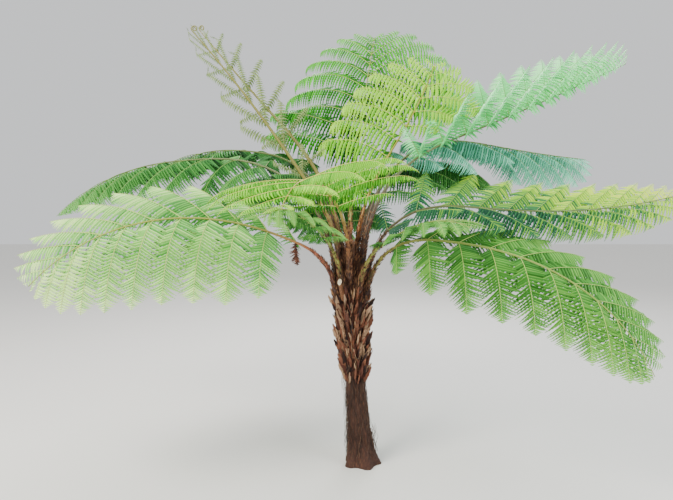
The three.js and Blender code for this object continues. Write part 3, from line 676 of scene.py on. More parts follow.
def line_at(start, line, share):
    """Point, midrib, width and face at a share of a leaflet's length."""
    x = min(max(share * LINE_STEPS - 1, 0), LINE_STEPS - 1 - 1e-6)
    i = int(x)
    point, direction, width, face = (mix(line[i][n], line[i + 1][n], x - i) for n in range(4))
    if share * LINE_STEPS < 1:
        point = mix(start, line[0][0], share * LINE_STEPS)
    return point, unit(direction), unit(width), unit(face)


def frond_nodes(frond):
    names = [frond["name"], frond["name"] + "_inner", frond["name"] + "_outer"]
    return [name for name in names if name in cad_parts]


def grown_leaflets(frond, curve):
    """The leaflets that the solids have: one whose place was taken was shortened or left out."""
    corners = np.vstack([
        np.array([v.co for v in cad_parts[name].data.vertices]) for name in frond_nodes(frond)])
    tips = kdtree.KDTree(len(corners))
    for i, corner in enumerate(corners):
        tips.insert(corner, i)
    tips.balance()
    for spot in leaflet_spots(frond):
        for side in (1, -1):
            for trial in TRIALS:
                end = leaflet_line(frond, curve, spot, side, trial)[1][-1][0]
                if tips.find(end)[2] < TIP_MATCH:
                    yield spot, side, trial
                    break


# Meshes and growth


def new_object(name, points, faces, edges=()):
    mesh = bpy.data.meshes.new(name)
    mesh.from_pydata([tuple(p) for p in points], list(edges), faces)
    mesh.validate()
    thing = bpy.data.objects.new(name, mesh)
    bpy.context.scene.collection.objects.link(thing)
    return thing


def seeded(name, points, values, edges=()):
    """Bare points, or lines through them, that hold the numbers and vectors a tree reads."""
    seedling = new_object(name, points, [], edges)
    for key, numbers in values.items():
        numbers = np.asarray(numbers, np.float32)
        kind, field = ("FLOAT", "value") if numbers.ndim == 1 else ("FLOAT_VECTOR", "vector")
        stored = seedling.data.attributes.new(key, kind, "POINT")
        stored.data.foreach_set(field, numbers.ravel())
    return seedling


def chain(count):
    """The edges of a line through this many points."""
    return [(i, i + 1) for i in range(count - 1)]


def tube_faces(rows, around, origin=0):
    """The faces of a tube whose points run ring by ring."""
    faces = []
    for k in range(rows):
        for j in range(around):
            a = origin + k * around + j
            b = origin + k * around + (j + 1) % around
            faces.append((a, b, b + around, a + around))
    return faces


def ripple(*place):
    """Smooth noise from -1 to 1."""
    return noise.noise(Vector(place))


def grow(name, seedling, tree, inputs, keep=()):
    """The plain mesh that a node tree grows from an object, which is then removed."""
    modifier = seedling.modifiers.new("Growth", "NODES")
    modifier.node_group = tree
    sockets = {s.name: s.identifier for s in tree.interface.items_tree if s.in_out == "INPUT"}
    for key, value in inputs.items():
        modifier[sockets[key]] = value
    evaluated = seedling.evaluated_get(bpy.context.evaluated_depsgraph_get())
    mesh = bpy.data.meshes.new_from_object(evaluated)
    seedling.modifiers.remove(modifier)
    bpy.data.objects.remove(seedling)
    if not mesh.polygons:
        raise RuntimeError(f"nothing grew for {name}")
    mesh.name = name
    wanted = keep + ("position", "sharp_face", "material_index")
    for extra in [a.name for a in mesh.attributes if a.name[0] != "." and a.name not in wanted]:
        mesh.attributes.remove(mesh.attributes[extra])
    piece = bpy.data.objects.new(name, mesh)
    bpy.context.scene.collection.objects.link(piece)
    return piece


def finish_piece(piece, slot, nodes=()):
    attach(piece, BODY)
    if nodes:
        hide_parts(*nodes)


def new_tree(name, inputs):
    """A geometry tree with named inputs, and the sockets that bring them in."""
    tree = bpy.data.node_groups.new(name, "GeometryNodeTree")
    tree.interface.new_socket("Geometry", in_out="OUTPUT", socket_type="NodeSocketGeometry")
    tree.interface.new_socket("Geometry", in_out="INPUT", socket_type="NodeSocketGeometry")
    for key, kind in inputs.items():
        tree.interface.new_socket(key, in_out="INPUT", socket_type="NodeSocket" + kind)
    return tree, add_node(tree, "NodeGroupInput").outputs


def for_tones(values):
    """One input of a tree for each tone."""
    return {f"Tone {k}": values[k] for k in range(TONES)}


def named(tree, name, kind="FLOAT"):
    node = add_node(tree, "GeometryNodeInputNamedAttribute", {"Name": name}, data_type=kind)
    return node.outputs["Attribute"]


def rib_tree():
    """Sweeps a section along lines of points that hold a radius and the way their face looks."""
    tree, given = new_tree("Ribs along lines", {"Section": "Object", "Rib": "Material"})
    line = add_node(tree, "GeometryNodeMeshToCurve", {"Mesh": given["Geometry"]})
    sized = add_node(tree, "GeometryNodeSetCurveRadius",
                     {"Curve": line, "Radius": named(tree, "radius")})
    faced = add_node(tree, "GeometryNodeSetCurveNormal",
                     {"Curve": sized, "Normal": named(tree, "face", "FLOAT_VECTOR")}, mode="FREE")
    section = add_node(tree, "GeometryNodeObjectInfo", {"Object": given["Section"]})
    ring = add_node(tree, "GeometryNodeMeshToCurve", {"Mesh": section.outputs["Geometry"]})
    swept = add_node(tree, "GeometryNodeCurveToMesh", {
        "Curve": faced, "Profile Curve": ring, "Scale": named(tree, "radius"), "Fill Caps": True})
    real = add_node(tree, "GeometryNodeRealizeInstances", {"Geometry": swept})
    smooth = add_node(tree, "GeometryNodeSetShadeSmooth", {"Geometry": real})
    dressed = add_node(tree, "GeometryNodeSetMaterial",
                       {"Geometry": smooth, "Material": given["Rib"]})
    add_node(tree, "NodeGroupOutput", {0: dressed})
    return tree


def section_object(name, corners):
    """A closed line for ribs to be swept with."""
    count = len(corners)
    points = [(x, y, 0.0) for x, y in corners]
    return new_object(name, points, [], [(i, (i + 1) % count) for i in range(count)])


def lobe_tree():
    """Sets a right and a left lobe on every point, turned and sized by what the point holds."""
    tree, given = new_tree("Lobes on leaflets", {
        "Right lobe": "Object", "Left lobe": "Object", "Width": "Float", "Angle at root": "Float",
        "Angle at tip": "Float", "Droop": "Float", "Wobble": "Float", "Seed": "Int",
        **for_tones(["Material"] * TONES)})
    across = named(tree, "across", "FLOAT_VECTOR")
    face = named(tree, "face", "FLOAT_VECTOR")
    reach = named(tree, "reach")
    angle = add_node(tree, "ShaderNodeMapRange", {
        "Value": named(tree, "along"), "To Min": given["Angle at root"],
        "To Max": given["Angle at tip"]})
    ahead = add_node(tree, "ShaderNodeMath", {0: angle}, operation="COSINE")
    beside = add_node(tree, "ShaderNodeMath", {0: angle}, operation="SINE")
    down = add_node(tree, "ShaderNodeMath", {0: given["Droop"]}, operation="SINE")
    sink = add_node(tree, "ShaderNodeVectorMath", {0: face, "Scale": down}, operation="SCALE")
    fore = add_node(tree, "ShaderNodeVectorMath", {
        0: named(tree, "forward", "FLOAT_VECTOR"), "Scale": ahead}, operation="SCALE")
    level = add_node(tree, "ShaderNodeVectorMath", {0: fore, 1: sink}, operation="SUBTRACT")
    out = add_node(tree, "ShaderNodeVectorMath", {0: across, "Scale": beside}, operation="SCALE")
    weight = add_node(tree, "ShaderNodeVectorMath", {0: (0, 0, -1), "Scale": named(tree, "hang")},
                      operation="SCALE")
    hung = add_node(tree, "ShaderNodeVectorMath", {0: level, 1: weight}, operation="ADD")
    wide = add_node(tree, "ShaderNodeMath", {0: named(tree, "pitch"), 1: given["Width"]},
                    operation="MULTIPLY")
    rows = add_node(tree, "GeometryNodeJoinGeometry")
    for side, lobe in ((1, "Right lobe"), (-1, "Left lobe")):
        seed = add_node(tree, "ShaderNodeMath", {0: given["Seed"], 1: 2.0 + side}, operation="ADD")
        shake = add_node(tree, "FunctionNodeRandomValue", {
            0: (0, 0, 0), 1: (1, 1, 1), "Seed": seed}, data_type="FLOAT_VECTOR")
        # Input 9 is the lowest corner that a vector is mapped to
        spread = add_node(tree, "ShaderNodeMapRange", {"Vector": shake, 9: (-1, -1, -1)},
                          data_type="FLOAT_VECTOR")
        uneven = add_node(tree, "ShaderNodeVectorMath", {
            0: spread.outputs["Vector"], "Scale": given["Wobble"]}, operation="SCALE")
        aside = add_node(tree, "ShaderNodeVectorMath", {0: out, "Scale": float(side)},
                         operation="SCALE")
        sure = add_node(tree, "ShaderNodeVectorMath", {0: hung, 1: aside}, operation="ADD")
        aim = add_node(tree, "ShaderNodeVectorMath", {0: sure, 1: uneven}, operation="ADD")
        turn = add_node(tree, "FunctionNodeAxesToRotation", {0: aim, 1: face},
                        primary_axis="Y", secondary_axis="Z")
        size = add_node(tree, "ShaderNodeCombineXYZ", {0: wide, 1: reach, 2: reach})
        shape = add_node(tree, "GeometryNodeObjectInfo", {"Object": given[lobe]})
        row = add_node(tree, "GeometryNodeInstanceOnPoints", {
            "Points": given["Geometry"], "Instance": shape.outputs["Geometry"],
            "Rotation": turn, "Scale": size})
        tree.links.new(row.outputs[0], rows.inputs[0])
    chance = add_node(tree, "FunctionNodeRandomValue",
                      {2: -TONE_SPREAD, 3: TONE_SPREAD, "Seed": given["Seed"]})
    tone = add_node(tree, "ShaderNodeMath", {0: named(tree, "tone"), 1: chance.outputs[1]},
                    operation="ADD")
    toned = add_node(tree, "GeometryNodeStoreNamedAttribute",
                     {"Geometry": rows, "Name": "tone", "Value": tone},
                     domain="INSTANCE", data_type="FLOAT")
    real = add_node(tree, "GeometryNodeRealizeInstances", {"Geometry": toned})
    shown = add_node(tree, "ShaderNodeMath", {0: named(tree, "tone"), 1: named(tree, "vein")},
                     operation="SUBTRACT")
    dress_by_tone(tree, given, real, shown)
    return tree


def lobe_inputs(right, left, tones, **changes):
    """What the lobe tree takes: the settings, apart from what is changed."""
    s = settings()
    given = {
        "Right lobe": right, "Left lobe": left, "Width": s.lobe_width, "Wobble": s.lobe_wobble,
        "Angle at root": s.lobe_angle_root, "Angle at tip": s.lobe_angle_tip,
        "Droop": s.lobe_droop, "Seed": s.seed,
    }
    return {**given, **for_tones(tones), **changes}


def dress_by_tone(tree, given, geometry, tone):
    """Gives every face the material of its tone, and ends the tree."""
    whole = add_node(tree, "ShaderNodeMath", {0: tone}, operation="ROUND")
    lowest = add_node(tree, "ShaderNodeMath", {0: whole, 1: 0.0}, operation="MAXIMUM")
    tier = add_node(tree, "ShaderNodeMath", {0: lowest, 1: TONES - 1.0}, operation="MINIMUM")
    for k in range(TONES):
        same = add_node(tree, "FunctionNodeCompare", {0: tier, 1: float(k), "Epsilon": 0.5},
                        operation="EQUAL", data_type="FLOAT")
        geometry = add_node(tree, "GeometryNodeSetMaterial", {
            "Geometry": geometry, "Selection": same, "Material": given[f"Tone {k}"]})
    add_node(tree, "NodeGroupOutput", {0: geometry})


def scatter_tree():
    """Sets one small shape on every point, aimed, sized and toned by what the point holds."""
    tree, given = new_tree("Small shapes on points", {
        "Shape": "Object", **for_tones(["Material"] * TONES)})
    turn = add_node(tree, "FunctionNodeAxesToRotation", {
        0: named(tree, "aim", "FLOAT_VECTOR"), 1: named(tree, "face", "FLOAT_VECTOR")},
        primary_axis="Y", secondary_axis="Z")
    size = add_node(tree, "ShaderNodeCombineXYZ", {
        0: named(tree, "girth"), 1: named(tree, "size"), 2: named(tree, "size")})
    shape = add_node(tree, "GeometryNodeObjectInfo", {"Object": given["Shape"]})
    spread = add_node(tree, "GeometryNodeInstanceOnPoints", {
        "Points": given["Geometry"], "Instance": shape.outputs["Geometry"],
        "Rotation": turn, "Scale": size})
    toned = add_node(tree, "GeometryNodeStoreNamedAttribute",
                     {"Geometry": spread, "Name": "tone", "Value": named(tree, "tone")},
                     domain="INSTANCE", data_type="FLOAT")
    real = add_node(tree, "GeometryNodeRealizeInstances", {"Geometry": toned})
    dress_by_tone(tree, given, real, named(tree, "tone"))
    return tree


class Scatter:
    """Points that small shapes will be set on."""

    KEYS = ("aim", "face", "size", "girth", "tone")

    def __init__(self, seed):
        self.rng = np.random.default_rng(seed)
        self.points = []
        self.values = {key: [] for key in self.KEYS}

    def draw(self, kind, *spreads):
        """A number from each of these spreads of a kind of part."""
        return [self.rng.uniform(*kind[spread]) for spread in spreads]

    def add(self, kind, point, aim, face, size=None, shrink=1.0):
        """One more point. Its size, if it isn't given, its girth and its tone are drawn."""
        if size is None:
            size = self.rng.uniform(*kind["length"]) * shrink
        girth = self.rng.uniform(*kind["girth"])
        tone = self.rng.choice(TONES, p=kind["tones"])
        self.points.append(point)
        for key, value in zip(self.KEYS, (aim, face, size, girth, tone)):
            self.values[key].append(value)

    def grow(self, name, shape, finish, colours):
        """The piece: a copy of the shape at each point, in dry tissue of four tones."""
        tones = [plain_material(f"{finish}, tone {k}", colours[k], DRY_ROUGHNESS)
                 for k in range(TONES)]
        piece = grow(name, seeded(name + " places", self.points, self.values), scatter_tree(),
                     {"Shape": shape, **for_tones(tones)})
        finish_piece(piece, "bark")
        bpy.data.objects.remove(shape)


def strip_object(name, rows, fold, curl, sway=0.0):
    """A narrow blade one unit long on +Y: half widths at its rows, a fold along its middle,
    a curl towards +Z and a sway to one side."""
    points, faces = [], []
    for y, half in rows:
        aside = sway * math.sin(SWAY_WAVES * y)
        height = curl * y * y
        points += [(aside - half, y, height), (aside, y, height + fold * half),
                   (aside + half, y, height)]
    for k in range(len(rows) - 1):
        a = 3 * k
        faces += [(a, a + 1, a + 4, a + 3), (a + 1, a + 2, a + 5, a + 4)]
    return new_object(name, points, faces)


def fibre_object(name):
    """A three-sided wavy fibre one unit long on +Y."""
    points, faces = [], []
    for k in range(FIBRE_STEPS + 1):
        y = k / FIBRE_STEPS
        x, z = (far * math.sin(waves * y + start) for far, waves, start in FIBRE_WAVES)
        half = (1 - FIBRE_TAPER * y) / 2
        for turn in (90, 210, 330):
            angle = math.radians(turn)
            points.append((x + half * math.cos(angle), y,
                           z + FIBRE_FLAT * half * math.sin(angle)))
    for k in range(FIBRE_STEPS):
        for i in range(3):
            a, b = 3 * k + i, 3 * k + (i + 1) % 3
            faces.append((a, a + 3, b + 3, b))
    return new_object(name, points, faces)


def lobe_object(name, side, teeth):
    """A lobe one unit long on +Y: a folded blade with teeth, and a paler strip on its vein."""
    points, faces, vein = [], [], []

    def half_width(y):
        grown = min(1.0, LOBE_ROOT[0] + LOBE_ROOT[1] * y)
        return LOBE_BREADTH * grown * max(0.0, 1 - y ** LOBE_POINT[0]) ** LOBE_POINT[1]

    def add(x, y):
        arch = -LOBE_ARCH * y * y - LOBE_FOLD * abs(x)
        points.append((x - side * LOBE_HOOK * y * y, y, arch))
        return len(points) - 1

    rows = [k / teeth for k in range(teeth)] + [1.0]
    spine = [add(0.0, y) for y in rows]
    for way in (1, -1):
        inner, notch = (
            [add(way * part * half_width(y), y) for y in rows[:-1]] + [spine[-1]]
            for part in (VEIN_SHARE, 1 - TOOTH_DEPTH))
        for k in range(teeth):
            y, taken = (mix(rows[k], rows[k + 1], share) for share in TOOTH_TIP)
            tooth = add(way * half_width(taken), y)
            strips = [
                ((spine[k], inner[k], inner[k + 1], spine[k + 1]), VEIN_TONE),
                ((inner[k], notch[k], notch[k + 1], inner[k + 1]), 0.0),
                ((notch[k], tooth, notch[k + 1]), 0.0),
            ]
            for corners, pale in strips:
                ring = list(dict.fromkeys(corners))
                if len(ring) > 2:
                    faces.append(ring if way > 0 else ring[::-1])
                    vein.append(pale)
    lobe = new_object(name, points, faces)
    lobe.data.attributes.new("vein", "FLOAT", "FACE").data.foreach_set("value", vein)
    return lobe


def lobe_profile(share):
    """Length of the lobes along a leaflet: full to past its middle, then down to its tip."""
    grown = min(1.0, LOBE_STARTS[0] + LOBE_STARTS[1] * share)
    past = max(0.0, (share - LOBE_FULL_TO) / (1 - LOBE_FULL_TO)) ** LOBE_NARROWS
    return grown * max(LOBE_SHORTEST, math.cos(math.pi / 2 * past))


def frond_lines(frond, curve):
    """The midribs of a frond's leaflets and the places of their lobes, each ready to seed."""
    s = settings()
    rng = np.random.default_rng(name_number(frond["name"]) + s.seed)
    points, edges, shape = [], [], dict(radius=[], face=[])
    places, lobes = [], {key: [] for key in LOBE_KEYS}
    spacing = s.lobe_spacing * frond.get("lobe", 1)
    for spot, side, trial in grown_leaflets(frond, curve):
        if spot["u"] == 0 and side == frond.get("dead"):
            continue
        curl = frond.get("curl", 0) * rng.uniform(*CURL_SPREAD)
        length, line = leaflet_line(frond, curve, spot, side, trial, LINE_STEPS, curl)
        twist = math.degrees(s.leaflet_twist) * side * rng.uniform(*TWIST_SPREAD)
        start, thickness = rib_at(curve, spot["middle"])[0], rib_radius(spot["middle"])
        root = min(MIDRIB_THICKEST, MIDRIB_OF_RIB * thickness + MIDRIB_OF_LENGTH * length)
        origin = len(points)
        for k, (point, _, _, face, _) in enumerate([(start,) + line[0][1:]] + line):
            points.append(point)
            shape["face"].append(face)
            shape["radius"].append(mix(root, MIDRIB_TIP, k / LINE_STEPS))
        edges += [(origin + a, origin + b) for a, b in chain(LINE_STEPS + 1)]
        # Each side's tone at foot and tip is partly the frond's own colour and partly painted light
        # and shade: lighter where sun falls, darker where the frond lies in shade.
        foot, tip = frond["tones"][0 if side > 0 else 1]
        leaf_tone = mix(foot, tip, spot["u"])
        leaf_tone += rng.uniform(-LEAFLET_TONE_SPREAD, LEAFLET_TONE_SPREAD)
        widest = min(s.lobe_reach * line[0][4], LOBE_SHARE * length) * frond.get("reach", 1)
        if frond["palette"] == "young":
            widest = min(widest, YOUNG_SHARE * length)
        distance = thickness + FIRST_LOBE * spacing
        while distance < length:
            share = distance / length
            point, direction, width, face = line_at(start, line, share)
            width, face = turned(width, face, twist), turned(face, -width, twist)
            pitch = spacing * mix(1.0, TIP_PITCH, share ** LOBE_NARROWS)
            pitch *= min(1, SMALL_PITCH + widest / FULL_PITCH_GAIN)
            reach = widest * lobe_profile(share) * rng.uniform(*LOBE_LENGTHS)
            # Painted shade at the leaflet's root and painted light towards its tip.
            tone = leaf_tone + mix(PAINTED_SHADE_FADE, -PAINTED_SHADE_FADE, share ** PAINTED_SHADE_FADE_POWER)
            hang = frond["hang"] * rng.uniform(*HANG_SPREAD)
            places.append(point)
            values = (direction, width * side, face, reach, pitch, share, tone, hang)
            for key, value in zip(LOBE_KEYS, values):
                lobes[key].append(value)
            distance += pitch
    return (points, shape, edges), (places, lobes)


def name_number(name):
    """A whole number for a name, the same in every run."""
    total = 0
    for letter in name:
        total = (total * 31 + ord(letter)) % 100003
    return total


# Materials


def new_material(name):
    material = bpy.data.materials.new(name)
    material.use_nodes = True
    return material


def plain_material(name, colour, roughness, specular=None):
    material = new_material(name)
    shader = material.node_tree.nodes["Principled BSDF"]
    shader.inputs["Base Color"].default_value = linear(colour)
    shader.inputs["Roughness"].default_value = roughness
    if specular is not None:
        shader.inputs["Specular IOR Level"].default_value = specular
    return material


def grained_material(material, colour, height, roughness, strength, depth):
    """Colours a material by a socket of its tree, and raises its surface by another."""
    tree = material.node_tree
    shader = tree.nodes["Principled BSDF"]
    bump = add_node(tree, "ShaderNodeBump",
                    {"Height": height, "Strength": strength, "Distance": depth})
    tree.links.new(colour, shader.inputs["Base Color"])
    tree.links.new(bump.outputs["Normal"], shader.inputs["Normal"])
    shader.inputs["Roughness"].default_value = roughness
    return material


def leaf_material(palette, tone):
    """Living fern leaf: a thin satin skin that scatters light. Its tones are plain colours
    that are dealt out by leaflet and lobe, so that they stay sharp on such small blades. Part of
    this dealing is painted light and shade: some palettes are lit and shaded copies of the leaf
    green, and tones are set lighter where sun falls and darker where shade falls."""
    return plain_material(f"fern leaf, {palette}, tone {tone}", PALETTES[palette][tone],
                          LEAF_ROUGHNESS, LEAF_SPECULAR)


def rib_material(stalk):
    """Living frond stalk: a smooth ridged skin, brown and scurfy at its foot."""
    material = new_material(f"frond stalk, {stalk}")
    tree = material.node_tree
    place = add_node(tree, "ShaderNodeTexCoord").outputs["Object"]
    age = add_node(tree, "ShaderNodeAttribute", attribute_name="along").outputs["Fac"]
    streaks = add_node(tree, "ShaderNodeTexNoise",
                       {"Vector": place, "Scale": STALK_GRAIN, "Detail": 3.0}).outputs["Fac"]
    uneven = add_node(tree, "ShaderNodeMath", {
        0: streaks, 1: STALK_MOTTLE, 2: -STALK_MOTTLE / 2}, operation="MULTIPLY_ADD")
    shifted = add_node(tree, "ShaderNodeMath", {0: age, 1: uneven}, operation="ADD")
    ramp = add_node(tree, "ShaderNodeValToRGB", {"Fac": shifted},
                    stops=tuple(zip(STALK_STOPS, STALKS[stalk])))
    return grained_material(material, ramp.outputs["Color"], streaks, STALK_ROUGHNESS,
                            strength=0.25, depth=0.001)


def bark_material():
    """Root mantle of a tree fern: matted dark fibres a millimetre or two thick, dull, with
    paler brown where they are worn."""
    material = new_material("matted root fibres, weathered")
    tree = material.node_tree
    place = add_node(tree, "ShaderNodeTexCoord").outputs["Object"]
    drawn = add_node(tree, "ShaderNodeMapping",
                     {"Vector": place, "Scale": (1.0, 1.0, FIBRE_DRAWN)})
    fibres = add_node(tree, "ShaderNodeTexNoise", {
        "Vector": drawn, "Scale": FIBRE_GRAIN, "Detail": 4.0, "Roughness": 0.65}).outputs["Fac"]
    patches = add_node(tree, "ShaderNodeTexNoise",
                       {"Vector": place, "Scale": PATCH_GRAIN, "Detail": 2.0}).outputs["Fac"]
    ramp = add_node(tree, "ShaderNodeValToRGB", {"Fac": fibres},
                    stops=BARK_STOPS)
    # Inputs 6 and 7 are the two colours, and output 2 is their mixture
    mixed = add_node(tree, "ShaderNodeMix", {
        "Factor": patches, 6: ramp.outputs["Color"], 7: linear(BARK_PATCH)}, data_type="RGBA")
    return grained_material(material, mixed.outputs[2], fibres, BARK_ROUGHNESS,
                            strength=0.6, depth=0.003)


def base_material(name, dark, light):
    """Dead frond base: split lengthwise into strands, dull, brown where it still has skin."""
    material = new_material(name)
    tree = material.node_tree
    place = add_node(tree, "ShaderNodeTexCoord").outputs["Object"]
    drawn = add_node(tree, "ShaderNodeMapping",
                     {"Vector": place, "Scale": (1.0, 1.0, STRAND_DRAWN)})
    strands = add_node(tree, "ShaderNodeTexNoise", {
        "Vector": drawn, "Scale": STRAND_GRAIN, "Detail": 3.0}).outputs["Fac"]
    ramp = add_node(tree, "ShaderNodeValToRGB", {"Fac": strands},
                    stops=tuple(zip(STRAND_STOPS, (dark, light))))
    return grained_material(material, ramp.outputs["Color"], strands, BASE_ROUGHNESS,
                            strength=0.6, depth=0.002)


def add_skins(piece, skins, kinds):
    """Gives a piece dead skins of several kinds, by the number that each face has."""
    for name, dark, light in kinds:
        piece.data.materials.append(base_material(name, dark, light))
    piece.data.polygons.foreach_set("material_index", skins)


# Operators, one for each piece or group of like pieces


class FERN_OT_fronds(bpy.types.Operator):
    """Grow the ribs, midribs and toothed lobes of all fronds"""

    bl_idname = "fern.fronds"
    bl_label = "Fronds"

    def execute(self, context):
        teeth = settings().lobe_teeth
        right, left = lobe_object("lobe right", 1, teeth), lobe_object("lobe left", -1, teeth)
        rib_section = section_object("rib section", RIB_SECTION)
        midrib_section = section_object("midrib section", MIDRIB_SECTION)
        sweep, lobe_rows = rib_tree(), lobe_tree()
        # The dark rib and midrib colours are painted shade for fronds that lie in shade.
        stalks = {key: rib_material(key) for key in STALKS}
        midribs = {key: plain_material(f"leaflet midrib, {key}", STALKS[key][3], STALK_ROUGHNESS)
                   for key in STALKS}
        leaves = {key: [leaf_material(key, k) for k in range(TONES)] for key in PALETTES}
        for frond in FRONDS:
            name, curve = frond["name"], rib_curve(frond)
            midrib_seeds, lobe_seeds = frond_lines(frond, curve)
            rib = grow(name + "_rib", self.rib_line(frond, curve), sweep,
                       {"Section": rib_section, "Rib": stalks[frond["stalk"]]}, keep=("along",))
            veins = grow(name + "_midribs", seeded("midrib lines", *midrib_seeds), sweep,
                         {"Section": midrib_section, "Rib": midribs[frond["stalk"]]})
            blades = grow(name + "_lobes", seeded("lobe places", *lobe_seeds), lobe_rows,
                          lobe_inputs(right, left, leaves[frond["palette"]]))
            for piece in (rib, veins, blades):
                finish_piece(piece, frond["slot"], frond_nodes(frond))
        line, places = self.withered_line()
        midrib = grow("withered_leaflet_midrib", line, sweep,
                      {"Section": midrib_section, "Rib": leaves["withered"][2]})
        blades = grow("withered_leaflet_lobes", places, lobe_rows, lobe_inputs(
            right, left, leaves["withered"], Width=0.6, Wobble=0.35))
        for piece in (midrib, blades):
            finish_piece(piece, "bark")
        for helper in (right, left, rib_section, midrib_section):
            bpy.data.objects.remove(helper)
        return {"FINISHED"}

    def rib_line(self, frond, curve):
        """The line of a frond's rib from inside the trunk to its tip."""
        start, face = curve["points"][0], rib_at(curve, 0)[2]
        sunk = (outward(frond["seat"]) * BASE_SUNK[0] + UP * BASE_SUNK[1]) * STALK_RADIUS
        young = frond["palette"] == "young"
        points, faces = [start - sunk, start], [face, face]
        radii, along = [STALK_RADIUS, STALK_RADIUS * SWELL], [0.0, 0.0]
        for k in range(1, RIB_STEPS * 2 + 1):
            t = k / (RIB_STEPS * 2)
            point, _, face = rib_at(curve, t)
            slim = mix(1.0, 1.0 if young else RIB_SLIM, min(1.0, t / frond["bare"]) ** 2)
            points.append(point)
            faces.append(face)
            radii.append(rib_radius(t) * foot_swell(t * frond["length"]) * slim)
            along.append(t)
        if young:
            tip, tangent, normal = rib_at(curve, 1.0)
            for k in range(1, TIP_COIL_STEPS + 1):
                share = k / TIP_COIL_STEPS
                turn = 360 * TIP_COIL_TURNS * share
                radius = TIP_COIL * mix(1.0, TIP_COIL_CLOSES, share)
                points.append(tip + normal * TIP_COIL + turned(-normal, tangent, turn) * radius)
                faces.append(turned(normal, -tangent, turn))
                radii.append(mix(*TIP_COIL_THICK, share))
                along.append(1.0)
        return seeded("rib line", points, dict(radius=radii, face=faces, along=along),
                      chain(len(points)))

    def withered_line(self):
        """The line and the lobe places of a dead leaflet, which hangs shrivelled from the foot
        of the lowest front frond."""
        s = settings()
        rng = np.random.default_rng(s.seed + WITHERED_SEED)
        curve = rib_curve(FRONDS[0])
        across = curve["across"]
        line = [rib_at(curve, next(leaflet_spots(FRONDS[0]))["middle"])[0]]
        lobes = {key: [] for key in LOBE_KEYS}
        direction = unit(across * WITHERED_ASIDE - UP)
        for k in range(WITHERED_STEPS):
            share = (k + 1) / WITHERED_STEPS
            strays = rng.uniform(-WITHERED_WAVER, WITHERED_WAVER, 3)
            direction = unit(direction + strays - UP * WITHERED_WEIGHT)
            line.append(line[-1] + direction * WITHERED_LENGTH / WITHERED_STEPS)
            width = unit(np.cross(direction, across))
            reach = WITHERED_LOBE * math.sin(math.pi * mix(0.1, 1.0, share))
            values = (direction, width, np.cross(direction, width), reach, WITHERED_PITCH, share,
                      rng.uniform(0, TONES - 1), WITHERED_HANG)
            for key, value in zip(LOBE_KEYS, values):
                lobes[key].append(value)
        count = len(line)
        radii = [mix(*WITHERED_MIDRIB, k / WITHERED_STEPS) for k in range(count)]
        shape = dict(radius=radii, face=[across] * count)
        return (seeded("withered line", line, shape, chain(count)),
                seeded("withered places", line[1:], lobes))


class FERN_OT_trunk(bpy.types.Operator):
    """Model the trunk's matted core"""

    bl_idname = "fern.trunk"
    bl_label = "Trunk"

    def execute(self, context):
        depth = settings().bark_relief
        points = []
        for j in range(BARK_ROWS + 1):
            z = TRUNK_PROFILE[-1][0] * j / BARK_ROWS
            radius = trunk_radius(z)
            for i in range(BARK_AROUND):
                turn = 360 * i / BARK_AROUND
                way = outward(turn)
                place = way * radius
                relief = sum(
                    share * ripple(place[0] * across, place[1] * across, z * along + offset)
                    for across, along, offset, share in BARK_WAVES)
                relief = depth * (relief - BARK_SUNK) * min(1, radius / BARK_FULL_RADIUS)
                points.append(trunk_axis(z) + way * (flared_radius(z, turn) + relief))
        faces = tube_faces(BARK_ROWS, BARK_AROUND)
        faces.append(tuple(range(BARK_AROUND))[::-1])
        faces.append(tuple(range(BARK_ROWS * BARK_AROUND, (BARK_ROWS + 1) * BARK_AROUND)))
        core = new_object("trunk_bark", points, faces)
        core.data.materials.append(bark_material())
        core.data.shade_smooth()
        finish_piece(core, "bark", ["trunk"])
        return {"FINISHED"}


class StubDraws:
    """The stream of numbers that places the old frond bases, as in the solids."""

    def __init__(self, seed):
        self.state = seed

    def draw(self):
        self.state = (self.state * 1664525 + 1013904223) % 4294967296
        return self.state / 4294967296


